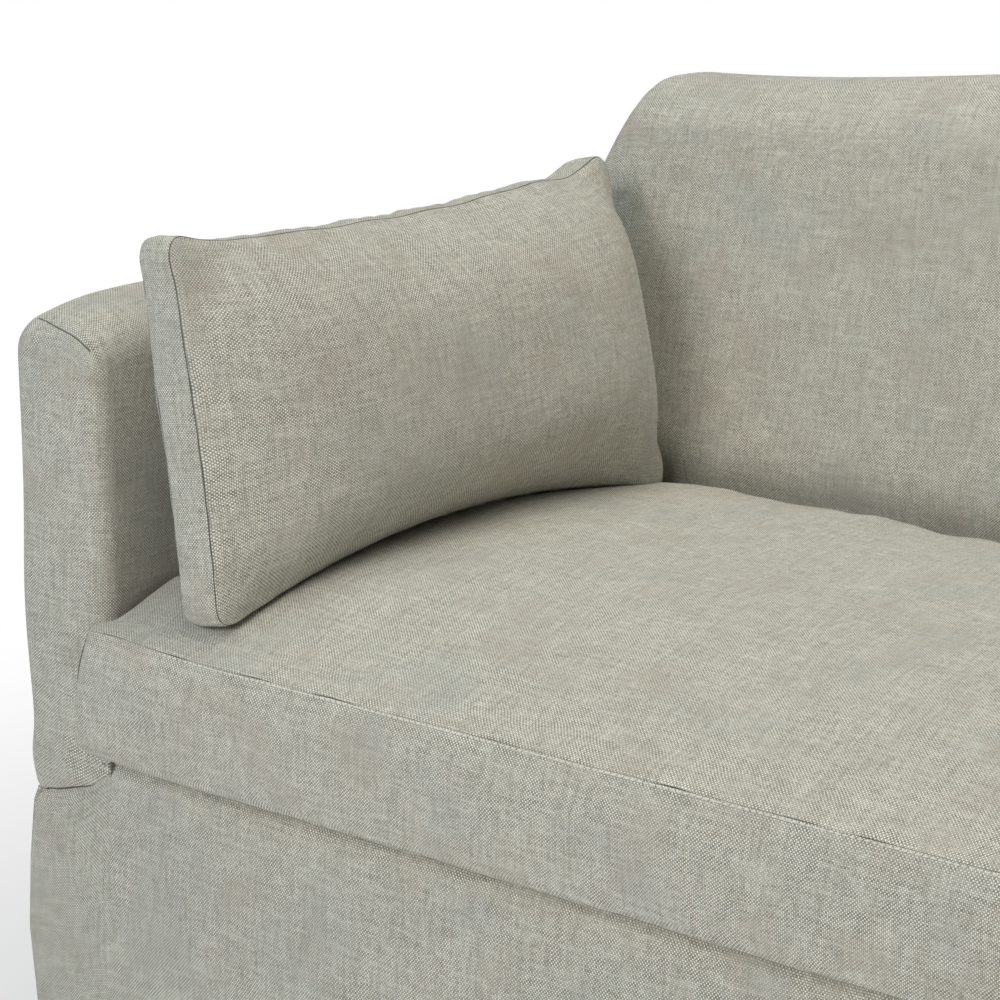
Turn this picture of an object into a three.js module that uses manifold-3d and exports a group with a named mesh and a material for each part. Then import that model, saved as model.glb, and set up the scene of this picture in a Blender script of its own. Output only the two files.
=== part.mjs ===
// Camelback sofa with a tight reclined back, a loose bench cushion, a long skirt and two boxed pillows.
// Millimetres, +Z up, the front faces -Y, and the origin is on the floor under the middle.

import * as THREE from "three";
import { mergeVertices } from "three/addons/utils/BufferGeometryUtils.js";
import Module from "manifold-3d";

const wasm = await Module();
wasm.setup();

// Driving dimensions of the whole sofa
const body_width = 2184; // over the outer faces of the arms
const arm_height = 757;
const arm_width = 102;
const shoulder_rise = 148; // arm top to the shoulder of the back
const crest_rise = 60; // shoulder to the crest of the hump
const shoulder_run = 145; // from the inside of the arm to the shoulder
const seat_depth = 620; // front of the arms to the back, at the seat line
const seat_line_height = 505;
const back_depth = 271; // inside back to the rear face, at the seat line
const deck_height = 341;
const cushion_overhang = 40; // cushion ahead of the arms
const back_recline = THREE.MathUtils.degToRad(13);

// Cloth, padding and gaps
const cloth = 2.5;
const seat_gap = 0.3; // between pieces that touch
const overrun = 5; // past a face in a cut

// Arm sections
const arm_outer_radius = 28;
const arm_inner_radius = 40;
const arm_edge_round = 12; // soft upright edges of the arm front
const arm_front_run = 90; // length over which the arm top falls to the front
const arm_front_drop = 14;
const arm_panel_thickness = 15.5; // padded front panel
const arm_side_pad = 11.5;
const arm_top_pad = 28;
const arm_lining_height = 330; // where the inner cloth of the arm ends
const arm_arc_steps = 4;
const arm_panel_shares = [0, 0.15, 0.45, 1];
const arm_run_shares = [0, 0.25, 0.55, 1];

// Seam between the covers and the skirt
const seam_height = 294; // at the outside of the arms
const seam_curve_power_share = 2.6;
const skirt_hem_height = 12;
const skirt_flare = 9;
const skirt_fold_depth = 4;
const skirt_fold_pitch = 190;
const skirt_column_width = 64;
const skirt_flare_shares = [0, 0.62, 1, 0.78, 0.6];

// Back
const back_front_round = 75; // roll from the inside back to the top, up the back
const back_front_roll = 66; // the same roll, measured back
const back_rear_round = 34;
const back_rear_round_least = 3;
const back_rear_power_share = 3.2;
const back_pad_thickness = 62;
const back_top_pad = 46;
const back_tuck_height = 346; // where the inside back is tucked in behind the cushion
const back_roll_steps = 4;
const back_station_width = 120;
const shoulder_stations = 7;

// Frame
const board = 28;
const rail_bottom = 150;
const rail_top = 300;
const rail_setback = 16; // frame behind the arm front plane
const block_leg = 95;
const block_height = 110;
const stretcher_dip = 46;
const stay_rail_height = 42;
const stay_rail_bottom = 350;
const stay_rail_thickness = 22;
const top_rail_rise_height = 33; // arm top to the underside of the top rail
const top_rail_end_run = 95; // from the inside of the arm to the end of the top rail
const upright_leg = 62; // width of the legs beside the window of an upright
const upright_window_radius = 24;
const upright_count = 4;
const burlap_thickness = 1.5;
const burlap_bottom = 360;

// Feet
const foot_radius = 27;
const foot_toe_radius = 20;
const foot_bead = 5;
const foot_glide_radius = 14;
const foot_glide_height = 6;
const foot_inset = 62; // centre of a corner foot from the outside faces
const foot_sides = 12;

// Seat springs
const spring_count = 8;
const spring_wire = 4;
const spring_width = 52;
const spring_loop_pitch = 29;
const spring_crown = 16;
const spring_loop_share = 0.13; // how far the loops lean over their bends
const spring_steps_per_loop = 3;
const spring_sides = 4;

// Bench cushion
const cushion_clearance = 2; // to the arms
const cushion_back_clearance = 3;
const cushion_corner = 46;
const cushion_draw_in = 7;
const cushion_seam_height = 475;
const cushion_under_seam_height = 362;
const cushion_seam_inset = 13;
const cushion_crown = 58;
const cushion_crown_run = 300;
const cushion_crown_power_share = 2.4;
const cushion_crown_side_share = 0.55;
const cushion_crown_run_shares = [0.04, 0.12, 0.24, 0.4, 0.6, 0.82];
const cushion_belly_shares = [[0.3, 0.12], [0.55, 0], [0.8, 0.2]]; // height and inset
const cushion_zip_length = 1400;
const cushion_zip_height = 408;

// Pillows
const pillow_length = 630;
const pillow_height = 352;
const pillow_band = 43;
const pillow_corner = 24;
const pillow_draw_in_end = 10;
const pillow_draw_in_side = 20;
const pillow_seat_hollow_depth = 24; // the lower side, pushed up by the crown of the seat
const pillow_inner_crown = 60;
const pillow_outer_crown = 58;
const pillow_crown_power_share = 2.6;
const pillow_corner_thin_share = 0.55; // how much flatter the faces are towards the corners
const pillow_crown_shares = [0.3, 0.58, 0.8, 0.94];
const pillow_band_bulge = 3;
const rest_samples = 3; // places along each edge that are tested when a pillow is set down
const pillow_from_arm = 120; // pillow centre from the inside of the arm
const pillow_from_back = 325; // pillow centre ahead of the back, at the seat line
const pillow_lean = THREE.MathUtils.degToRad(9);
const pillow_turn = THREE.MathUtils.degToRad(2.2);
const pillow_zip_stations = 3; // steps of the lower side that the zip runs to each way

// Zips
const zip_width = 8;
const zip_thickness = 1.5;
const zip_recess_depth = 0.5;

// Planes that the pieces share
const half_width = body_width / 2;
const arm_inside = half_width - arm_width;
const sofa_depth = cushion_overhang + seat_depth + back_depth + skirt_flare; // cushion front to back skirt
const front_y = cushion_overhang - sofa_depth / 2;
const rear_y = sofa_depth / 2 - skirt_flare;
const frame_front = front_y + rail_setback;
const frame_rear = rear_y - cloth - seat_gap;
const frame_outside = half_width - cloth - arm_side_pad;
const frame_inside = arm_inside + cloth + arm_side_pad;
const arm_frame_top = arm_height - cloth - arm_top_pad;
const top_rail_bottom = arm_height + top_rail_rise_height;
const seat_line_y = front_y + seat_depth;

// Finishes
const linen = { color: 0xb3b0a4, roughness: 0.95, metalness: 0 };
const timber = { color: 0xc9a777, roughness: 0.7, metalness: 0 };
const dark_timber = { color: 0x4a3527, roughness: 0.5, metalness: 0 };
const foam = { color: 0xe6dfc8, roughness: 1, metalness: 0 };
const jute = { color: 0xb39a6b, roughness: 1, metalness: 0 };
const spring_steel = { color: 0x8b8f92, roughness: 0.4, metalness: 0.9 };
const zip_tape = { color: 0xa09d92, roughness: 0.8, metalness: 0 };

const sofa = new THREE.Group();

// Adds one named piece to the sofa, or to a group in it.
function addPiece(name, geometry, finish, parent = sofa) {
  const piece = new THREE.Mesh(geometry, new THREE.MeshStandardMaterial(finish));
  piece.name = name;
  parent.add(piece);
  return piece;
}

// A board between two corners.
function addBoard(name, low, high, finish = timber) {
  const size = high.map((value, axis) => value - low[axis]);
  const piece = addPiece(name, new THREE.BoxGeometry(...size), finish);
  piece.position.set(...high.map((value, axis) => (value + low[axis]) / 2));
  return piece;
}

// A profile drawn in the YZ plane and made into a board across X, centred on x.
function addProfile(name, shape, thickness, x) {
  const settings = { depth: thickness, bevelEnabled: false, curveSegments: 6 };
  const geometry = new THREE.ExtrudeGeometry(shape, settings);
  const piece = addPiece(name, geometry, timber);
  piece.rotation.set(Math.PI / 2, Math.PI / 2, 0);
  piece.position.x = x - thickness / 2;
  return piece;
}

// A closed surface from triangles, turned the right way out.
function closedGeometry(points, triangles) {
  const geometry = new THREE.BufferGeometry();
  const volume = triangles.reduce(
    (sum, [a, b, c]) => sum + points[a].dot(points[b].clone().cross(points[c])), 0,
  );
  const facing = volume < 0 ? triangles.map(([a, b, c]) => [a, c, b]) : triangles;
  geometry.setAttribute(
    "position",
    new THREE.Float32BufferAttribute(points.flatMap((point) => point.toArray()), 3),
  );
  geometry.setIndex(facing.flat());
  return geometry;
}

// Triangles that close a ring, wound the way that the ring runs.
function ringCap(ring) {
  const normal = new THREE.Vector3();
  ring.forEach((point, i) => normal.add(point.clone().cross(ring[(i + 1) % ring.length])));
  const size = normal.toArray().map(Math.abs);
  const across = size.indexOf(Math.max(...size));
  const flat = ring.map((point) => {
    const kept = point.toArray().filter((value, axis) => axis !== across);
    return new THREE.Vector2(...kept);
  });
  const triangles = THREE.ShapeUtils.triangulateShape(flat, []);
  const area = ([a, b, c]) => (flat[b].x - flat[a].x) * (flat[c].y - flat[a].y)
    - (flat[c].x - flat[a].x) * (flat[b].y - flat[a].y);
  const turn = Math.sign(triangles.reduce((sum, triangle) => sum + area(triangle), 0));
  const run = Math.sign(THREE.ShapeUtils.area(flat));
  return turn === run ? triangles : triangles.map(([a, b, c]) => [a, c, b]);
}

// A solid through a row of rings that have the same number of points.
function loft(rings) {
  const count = rings[0].length;
  const last = (rings.length - 1) * count;
  const triangles = ringCap(rings[0]).map(([a, b, c]) => [a, c, b]);
  for (let i = 0; i < rings.length - 1; i += 1) {
    for (let j = 0; j < count; j += 1) {
      const a = i * count + j;
      const b = i * count + (j + 1) % count;
      triangles.push([a, b, a + count], [b, b + count, a + count]);
    }
  }
  ringCap(rings[rings.length - 1]).forEach((triangle) => triangles.push(triangle.map((i) => i + last)));
  return closedGeometry(rings.flat(), triangles);
}

// Even steps from one value to another, both ends included.
function steps(from, to, count) {
  return Array.from({ length: count + 1 }, (_, i) => from + (to - from) * i / count);
}

// Points on an arc as [across, up], between two angles in degrees.
function arc(centre, radius, from, to, count) {
  return steps(from, to, count).map((angle) => {
    const turn = THREE.MathUtils.degToRad(angle);
    return [centre[0] + radius * Math.cos(turn), centre[1] + radius * Math.sin(turn)];
  });
}

// Joins and cuts
function solid(geometry) {
  const bare = geometry.clone();
  bare.deleteAttribute("normal");
  bare.deleteAttribute("uv");
  const merged = mergeVertices(bare);
  return new wasm.Manifold(new wasm.Mesh({
    numProp: 3,
    vertProperties: Float32Array.from(merged.attributes.position.array),
    triVerts: Uint32Array.from(merged.index.array),
  }));
}

function geometryOf(body) {
  const mesh = body.getMesh();
  const geometry = new THREE.BufferGeometry();
  geometry.setAttribute("position", new THREE.BufferAttribute(mesh.vertProperties, 3));
  geometry.setIndex(Array.from(mesh.triVerts));
  return geometry;
}

// A cloth cover: the outer form less its hollow and the slot of its zip.
function coverGeometry(outer, hollow, slot) {
  return geometryOf(solid(outer).subtract(solid(hollow)).subtract(solid(slot)));
}

// The front of the inside back at a height.
function insideBackY(z) {
  return seat_line_y + (z - seat_line_height) * Math.tan(back_recline);
}

// The top outline of the back: a steep shoulder beside the arm, then a slow rise to the hump.
function backTop(x) {
  const run = arm_inside - Math.abs(x);
  const shoulder = THREE.MathUtils.smootherstep(run, 0, shoulder_run);
  const hump = THREE.MathUtils.smoothstep(run, shoulder_run, arm_inside);
  return arm_height + shoulder_rise * shoulder + crest_rise * hump;
}

// The lower edge of the covers, which climbs from the outside of an arm to the deck.
function seamHeight(x) {
  const along = THREE.MathUtils.clamp((half_width - Math.abs(x)) / arm_width, 0, 1);
  return seam_height + (deck_height - seam_height) * along ** seam_curve_power_share;
}

// The places across the back where its section is drawn, closer together at the shoulders.
function backStations() {
  const inner = arm_inside - shoulder_run;
  const inner_count = 2 * Math.round(inner / back_station_width);
  const shoulder = steps(arm_inside - seat_gap, inner, shoulder_stations).slice(0, -1);
  return [...shoulder.map((x) => -x), ...steps(-inner, inner, inner_count), ...shoulder.reverse()];
}
const back_stations = backStations();

// Frame: rails, blocks, posts and the stretcher

addBoard("front_rail",
  [-frame_outside + board + seat_gap, frame_front, rail_bottom],
  [frame_outside - board - seat_gap, frame_front + board, rail_top]);

const upright_foot_y = insideBackY(rail_top) + cloth + back_pad_thickness + burlap_thickness + 3 * seat_gap;
addBoard("spring_rail",
  [-frame_outside + board + seat_gap, upright_foot_y, rail_bottom],
  [frame_outside - board - seat_gap, upright_foot_y + board, rail_top]);

addBoard("rear_rail",
  [-frame_outside + board + seat_gap, frame_rear - board, rail_bottom],
  [frame_outside - board - seat_gap, frame_rear, rail_top]);

const stretcher = new THREE.Shape();
const stretcher_front = frame_front + board + seat_gap;
const stretcher_rear = upright_foot_y - seat_gap;
stretcher.moveTo(stretcher_front, rail_bottom);
stretcher.lineTo(stretcher_rear, rail_bottom);
stretcher.lineTo(stretcher_rear, rail_top);
stretcher.quadraticCurveTo(
  (stretcher_front + stretcher_rear) / 2, rail_top - 2 * stretcher_dip, stretcher_front, rail_top,
);
addProfile("centre_stretcher", stretcher, board, 0);

const sides = [["left", -1], ["right", 1]];
for (const [hand, side] of sides) {
  const across = (a, b) => [Math.min(side * a, side * b), Math.max(side * a, side * b)];

  const [rail_low, rail_high] = across(frame_outside - board, frame_outside);
  addBoard(`${hand}_side_rail`, [rail_low, frame_front, rail_bottom], [rail_high, frame_rear, rail_top]);

  const block_corner = side * (frame_outside - board - 2 * seat_gap);
  const block = new THREE.Shape([
    new THREE.Vector2(block_corner, stretcher_front),
    new THREE.Vector2(block_corner - side * block_leg, stretcher_front),
    new THREE.Vector2(block_corner, stretcher_front + block_leg),
  ]);
  const block_piece = addPiece(
    `${hand}_corner_block`,
    new THREE.ExtrudeGeometry(block, { depth: block_height, bevelEnabled: false }),
    timber,
  );
  block_piece.position.z = rail_top - block_height;

  const [post_low, post_high] = across(frame_inside, frame_outside);
  const post_bottom = rail_top + seat_gap;
  addBoard(`${hand}_arm_front_post`,
    [post_low, frame_front, post_bottom], [post_high, frame_front + board, arm_frame_top]);
  addBoard(`${hand}_arm_rear_post`,
    [post_low, frame_rear - board, post_bottom], [post_high, frame_rear, arm_frame_top]);

  const rail_front = frame_front + board + seat_gap;
  const rail_rear = frame_rear - board - seat_gap;
  addBoard(`${hand}_arm_top_rail`,
    [post_low, rail_front, arm_frame_top - board], [post_high, rail_rear, arm_frame_top]);

  const [stay_low, stay_high] = across(frame_inside, frame_inside + stay_rail_thickness);
  addBoard(`${hand}_arm_stay_rail`,
    [stay_low, rail_front, stay_rail_bottom], [stay_high, rail_rear, stay_rail_bottom + stay_rail_height]);
}

// Back frame: four uprights with a window each, and the shaped top rail

function frameBackY(z) {
  return insideBackY(z) + cloth + back_pad_thickness + burlap_thickness + 3 * seat_gap;
}

function uprightShape() {
  const foot = rail_top + seat_gap;
  const head = top_rail_bottom - seat_gap;
  const shape = new THREE.Shape([
    new THREE.Vector2(frameBackY(foot), foot),
    new THREE.Vector2(frame_rear, foot),
    new THREE.Vector2(frame_rear, head),
    new THREE.Vector2(frameBackY(head), head),
  ]);
  const window_low = foot + upright_leg;
  const window_high = head - upright_leg;
  const rear = frame_rear - upright_leg;
  const corners = [
    [frameBackY(window_low) + upright_leg, window_low],
    [rear, window_low],
    [rear, window_high],
    [frameBackY(window_high) + upright_leg, window_high],
  ].map(([y, z]) => new THREE.Vector2(y, z));
  const opening = new THREE.Path();
  corners.forEach((corner, i) => {
    const before = corners[(i + 3) % corners.length].clone().sub(corner).setLength(upright_window_radius);
    const after = corners[(i + 1) % corners.length].clone().sub(corner).setLength(upright_window_radius);
    const start = corner.clone().add(before);
    const end = corner.clone().add(after);
    if (i === 0) {
      opening.moveTo(start.x, start.y);
    } else {
      opening.lineTo(start.x, start.y);
    }
    opening.quadraticCurveTo(corner.x, corner.y, end.x, end.y);
  });
  opening.closePath();
  shape.holes.push(opening);
  return shape;
}

const top_rail_stations = back_stations.filter((x) => Math.abs(x) <= arm_inside - top_rail_end_run);
const top_rail_reach = Math.max(...top_rail_stations);
const upright_reach = top_rail_reach - board / 2;
steps(-upright_reach, upright_reach, upright_count - 1).forEach((x, i) => {
  addProfile(`back_upright_${i + 1}`, uprightShape(), board, x);
});

// The rail leans with the back, and its top follows the camel outline.
function topRailRing(x) {
  const top = backTop(x) - back_top_pad;
  return [
    new THREE.Vector3(x, frameBackY(top_rail_bottom), top_rail_bottom),
    new THREE.Vector3(x, frameBackY(top_rail_bottom) + board, top_rail_bottom),
    new THREE.Vector3(x, frameBackY(top) + board, top),
    new THREE.Vector3(x, frameBackY(top), top),
  ];
}
addPiece("back_top_rail", loft(top_rail_stations.map(topRailRing)), timber);

// Burlap across the front of the uprights and the rail, which carries the back padding.
function burlapRing(x) {
  const top = backTop(x) - back_top_pad;
  const near = seat_gap;
  const far = seat_gap + burlap_thickness;
  return [[burlap_bottom, far], [top, far], [top, near], [burlap_bottom, near]]
    .map(([z, ahead]) => new THREE.Vector3(x, frameBackY(z) - ahead, z));
}
addPiece("back_burlap", loft(top_rail_stations.map(burlapRing)), jute);

// Feet

const foot_height = rail_bottom - seat_gap;
const foot_profile = [
  [0, 0],
  [foot_glide_radius, 0],
  [foot_glide_radius, foot_glide_height],
  [foot_toe_radius, foot_glide_height],
  [foot_radius, foot_height - foot_bead],
  [foot_radius, foot_height],
  [0, foot_height],
].map(([radius, z]) => new THREE.Vector2(radius, z));
const foot_x = half_width - foot_inset;
const feet = [
  ["front_left_foot", -foot_x, front_y + foot_inset],
  ["front_centre_foot", 0, frame_front + board / 2 + foot_radius / 2],
  ["front_right_foot", foot_x, front_y + foot_inset],
  ["rear_left_foot", -foot_x, rear_y - foot_inset],
  ["rear_centre_foot", 0, frame_rear - foot_radius],
  ["rear_right_foot", foot_x, rear_y - foot_inset],
];
for (const [name, x, y] of feet) {
  const foot = addPiece(name, new THREE.LatheGeometry(foot_profile, foot_sides), dark_timber);
  foot.rotation.x = Math.PI / 2;
  foot.position.set(x, y, 0);
}

// Seat springs: sinuous wire from the front rail to the spring rail, crowned in the middle

const spring_front = frame_front + board / 2;
const spring_rear = upright_foot_y + board / 2;
const spring_base = rail_top + spring_wire / 2 + seat_gap;

function springHeight(y) {
  const span = spring_rear - spring_front - 2 * board;
  const along = THREE.MathUtils.clamp((y - spring_front - board) / span, 0, 1);
  return spring_base + spring_crown * Math.sin(Math.PI * along) ** 2;
}

function springPath(x) {
  const span = spring_rear - spring_front - board;
  const loops = Math.round(span / spring_loop_pitch);
  const points = [new THREE.Vector3(x, spring_front, spring_base)];
  for (let i = 0; i <= loops * spring_steps_per_loop; i += 1) {
    const turn = i / spring_steps_per_loop;
    const lean = spring_loop_share * Math.sin(2 * Math.PI * turn);
    const y = spring_front + board / 2 + span * (turn - lean) / loops;
    const swing = Math.sin(Math.PI * turn);
    points.push(new THREE.Vector3(x + swing * spring_width / 2, y, springHeight(y)));
  }
  points.push(new THREE.Vector3(x, spring_rear, spring_base));
  return { curve: new THREE.CatmullRomCurve3(points), count: points.length };
}

const spring_section = new THREE.Shape(
  steps(0, 2 * Math.PI, spring_sides).slice(0, -1).map((turn) => (
    new THREE.Vector2(Math.cos(turn), Math.sin(turn)).multiplyScalar(spring_wire / 2)
  )),
);
const spring_spacing = 2 * frame_inside / (spring_count + 1);
for (let i = 0; i < spring_count; i += 1) {
  const x = spring_spacing * (i + 1) - frame_inside;
  const { curve, count } = springPath(x);
  const wire = new THREE.ExtrudeGeometry(spring_section, { steps: count - 1, extrudePath: curve });
  addPiece(`seat_spring_${i + 1}`, wire, spring_steel);
}

// Deck padding over the springs, and the deck cloth that the cushion lies on

const deck_reach = arm_inside - seat_gap;
const deck_front = front_y + cloth + 2 * seat_gap;
const deck_rear = upright_foot_y - seat_gap;
const deck_pad_top = deck_height - cloth - seat_gap;
const deck_pad_steps = 16;
const deck_under = steps(deck_front, deck_rear, deck_pad_steps)
  .map((y) => [y, springHeight(y) + spring_wire / 2 + 2 * seat_gap]);
const deckRing = (x) => [...deck_under, [deck_rear, deck_pad_top], [deck_front, deck_pad_top]]
  .map(([y, z]) => new THREE.Vector3(x, y, z));
addPiece("deck_pad", loft([deckRing(-deck_reach), deckRing(deck_reach)]), foam);
addBoard("deck_cover",
  [-deck_reach, deck_front, deck_height - cloth], [deck_reach, deck_rear, deck_height], linen);

// Arms: padded front panel, cloth cover and padding round the frame

// How far the outline has drawn in at a distance behind the arm front.
function frontInset(behind) {
  const left = 1 - Math.min(behind / arm_edge_round, 1);
  return arm_edge_round * (1 - Math.sqrt(1 - left * left));
}
function frontDrop(behind) {
  const left = 1 - Math.min(behind / arm_front_run, 1);
  return arm_front_drop * left * left;
}

// The outline of an arm as [distance from its outer face, height], from outer foot to inner foot.
function armOutline(behind, inset, outer_foot, inner_foot) {
  const all = inset + frontInset(behind);
  const top = arm_height - frontDrop(behind);
  const outer_centre = [arm_outer_radius, top - arm_outer_radius];
  const inner_centre = [arm_width - arm_inner_radius, top - arm_inner_radius];
  return [
    [all, outer_foot],
    ...arc(outer_centre, arm_outer_radius - all, 180, 90, arm_arc_steps),
    ...arc(inner_centre, arm_inner_radius - all, 90, 0, arm_arc_steps),
    [arm_width - all, inner_foot],
  ];
}

function armRing(side, behind, outline) {
  return outline.map(([from_outside, z]) => new THREE.Vector3(
    side * (half_width - from_outside), front_y + behind, z,
  ));
}

const seam_steps = 12;
const seam_places = steps(0, arm_width, seam_steps);
function armPanelRing(side, behind) {
  const outline = armOutline(behind, 0, seam_height + seat_gap, deck_height + seat_gap);
  const inset = outline[0][0];
  const upper = outline.slice(1, -1);
  const lower = [...seam_places].reverse()
    .map((place) => THREE.MathUtils.clamp(place, inset, arm_width - inset))
    .map((place) => [place, seamHeight(half_width - place) + seat_gap]);
  return armRing(side, behind, [...upper, ...lower]);
}

function armCoverRing(side, behind) {
  const outer = armOutline(behind, 0, seam_height + seat_gap, arm_lining_height);
  const inner = armOutline(behind, cloth, seam_height + seat_gap, arm_lining_height);
  return armRing(side, behind, [...outer, ...inner.reverse()]);
}

function armPadRing(side, behind) {
  const outer = armOutline(behind, cloth + seat_gap, rail_bottom + board, arm_lining_height);
  const bare = half_width - frame_outside - seat_gap;
  const bare_inside = half_width - frame_inside + seat_gap;
  const inner = [
    [bare_inside, arm_lining_height],
    [bare_inside, arm_frame_top + seat_gap],
    [bare, arm_frame_top + seat_gap],
    [bare, seam_height + seat_gap],
  ];
  outer[0][1] = seam_height + seat_gap;
  return armRing(side, behind, [...outer, ...inner]);
}

const arm_cover_front = arm_panel_thickness + seat_gap;
const arm_cover_rear = rear_y - cloth - seat_gap - front_y;
const arm_cover_places = [
  ...arm_run_shares.map((share) => arm_cover_front + share * (arm_front_run - arm_cover_front)),
  arm_cover_rear,
];
const arm_panel_places = arm_panel_shares.map((share) => share * arm_panel_thickness);
for (const [hand, side] of sides) {
  const front_panel = arm_panel_places.map((behind) => armPanelRing(side, behind));
  addPiece(`${hand}_arm_front_panel`, loft(front_panel), linen);
  addPiece(`${hand}_arm_cover`, loft(arm_cover_places.map((behind) => armCoverRing(side, behind))), linen);
  addPiece(`${hand}_arm_pad`, loft(arm_cover_places.map((behind) => armPadRing(side, behind))), foam);
}

// Back: cloth that rolls over the top, padding under it, and the flat outside back

function rearRound(x) {
  const run = arm_inside - Math.abs(x);
  return Math.max(back_rear_round * THREE.MathUtils.smoothstep(run, 0, shoulder_run), back_rear_round_least);
}

// The section of the back as [y, z]: up the inside, over the roll and back to the rear seam.
function backPath(x, inset) {
  const top = backTop(x) - inset;
  const roll = back_front_round - inset;
  const back = back_front_roll - inset;
  const rise = top - roll;
  const front = steps(0, Math.PI / 2, back_roll_steps).map((turn) => {
    const z = rise + roll * Math.sin(turn);
    return [insideBackY(z) + inset + back * (1 - Math.cos(turn)), z];
  });
  const [peak] = front[front.length - 1];
  const rear = rear_y - cloth - seat_gap - inset;
  const drop = rearRound(x) - inset / 2;
  const over = steps(0, Math.PI / 2, back_roll_steps).slice(1).map((turn) => {
    const along = Math.sin(turn) ** (2 / back_rear_power_share);
    const down = 1 - Math.cos(turn) ** (2 / back_rear_power_share);
    return [peak + (rear - peak) * along, top - drop * down];
  });
  return [[insideBackY(back_tuck_height) + inset, back_tuck_height], ...front, ...over];
}

function backCoverRing(x) {
  const outer = backPath(x, 0);
  const inner = backPath(x, cloth);
  return [...outer, ...inner.reverse()].map(([y, z]) => new THREE.Vector3(x, y, z));
}

function backPadRing(x) {
  const outer = backPath(x, cloth + seat_gap);
  const rear = outer[outer.length - 1][0];
  const rail_top_z = backTop(x) - back_top_pad + seat_gap;
  const behind_rail = board + seat_gap;
  const ahead = burlap_thickness + 2 * seat_gap;
  const low = Math.min(top_rail_bottom, rail_top_z - overrun);
  const inner = [
    [rear, low],
    [frameBackY(low) + behind_rail, low],
    [frameBackY(rail_top_z) + behind_rail, rail_top_z + seat_gap],
    [frameBackY(rail_top_z) - ahead, rail_top_z + seat_gap],
    [frameBackY(back_tuck_height) - ahead, back_tuck_height],
  ];
  return [...outer, ...inner].reverse().map(([y, z]) => new THREE.Vector3(x, y, z));
}

addPiece("inside_back_cover", loft(back_stations.map(backCoverRing)), linen);
addPiece("back_pad", loft(back_stations.map(backPadRing)), foam);

const outside_back = new THREE.Shape();
outside_back.moveTo(-half_width, seam_height + seat_gap);
outside_back.lineTo(half_width, seam_height + seat_gap);
const arm_rear_arc = arc(
  [half_width - arm_outer_radius, arm_height - arm_outer_radius], arm_outer_radius, 0, 90, arm_arc_steps,
);
arm_rear_arc.forEach(([x, z]) => outside_back.lineTo(x, z));
const outline_right_to_left = [...back_stations].reverse();
outline_right_to_left.forEach((x) => outside_back.lineTo(x, backTop(x) - rearRound(x)));
[...arm_rear_arc].reverse().forEach(([x, z]) => outside_back.lineTo(-x, z));
const outside_back_piece = addPiece(
  "outside_back_cover",
  new THREE.ExtrudeGeometry(outside_back, { depth: cloth, bevelEnabled: false }),
  linen,
);
outside_back_piece.rotation.x = Math.PI / 2;
outside_back_piece.position.y = rear_y;

// Skirt: a panel on each side that hangs from the seam, bellied out and lightly folded

// How far the skirt stands out from the body at a share of its drop.
function skirtStand(share, along) {
  const last = skirt_flare_shares.length - 1;
  const place = share * last;
  const i = Math.min(Math.floor(place), last - 1);
  const out_share = THREE.MathUtils.lerp(skirt_flare_shares[i], skirt_flare_shares[i + 1], place - i);
  const flare = out_share * skirt_flare;
  const fold = skirt_fold_depth * share * (1 - Math.cos(2 * Math.PI * along / skirt_fold_pitch)) / 2;
  return flare - fold;
}

// A skirt panel between its first and last place. toPoint puts [along, out, z] in the sofa.
function skirtPanel(places, top, toPoint, end_back) {
  const half_run = places[places.length - 1];
  const drop_shares = steps(0, 1, skirt_flare_shares.length - 1);
  const rings = places.map((along) => {
    const height = top(along);
    const path = (inset) => drop_shares.map((share) => {
      const z = height + (skirt_hem_height - height) * share;
      const stand = skirtStand(share, along);
      const reach = half_run + skirtStand(share, half_run) - end_back;
      return toPoint(along / half_run * reach, stand - inset, z);
    });
    return [...path(0), ...path(cloth).reverse()];
  });
  return loft(rings);
}

function skirtPlaces(reach) {
  return steps(-reach, reach, Math.round(2 * reach / skirt_column_width));
}
const level_seam = () => seam_height;
const seam_edge_places = seam_places.slice(0, -1);
const front_places = [
  ...seam_edge_places.map((place) => place - half_width),
  ...skirtPlaces(arm_inside),
  ...seam_edge_places.map((place) => half_width - place).reverse(),
];
const toFront = (x, out, z) => new THREE.Vector3(x, front_y - out, z);
addPiece("front_skirt", skirtPanel(front_places, seamHeight, toFront, 0), linen);
const toRear = (x, out, z) => new THREE.Vector3(x, rear_y + out, z);
addPiece("rear_skirt", skirtPanel(skirtPlaces(half_width), level_seam, toRear, 0), linen);
const side_middle = (front_y + rear_y) / 2;
const side_run = (rear_y - front_y) / 2;
for (const [hand, side] of sides) {
  const toPoint = (y, out, z) => new THREE.Vector3(side * (half_width + out), side_middle + y, z);
  addPiece(`${hand}_skirt`,
    skirtPanel(skirtPlaces(side_run), level_seam, toPoint, cloth + seat_gap), linen);
}

// Draws the sides of a soft form in between its corners.
function drawIn([x, y], half_x, half_y, draw_x, draw_y) {
  return [
    x * (1 - draw_x / half_x * (1 - (y / half_y) ** 2)),
    y * (1 - draw_y / half_y * (1 - (x / half_x) ** 2)),
  ];
}

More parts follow.
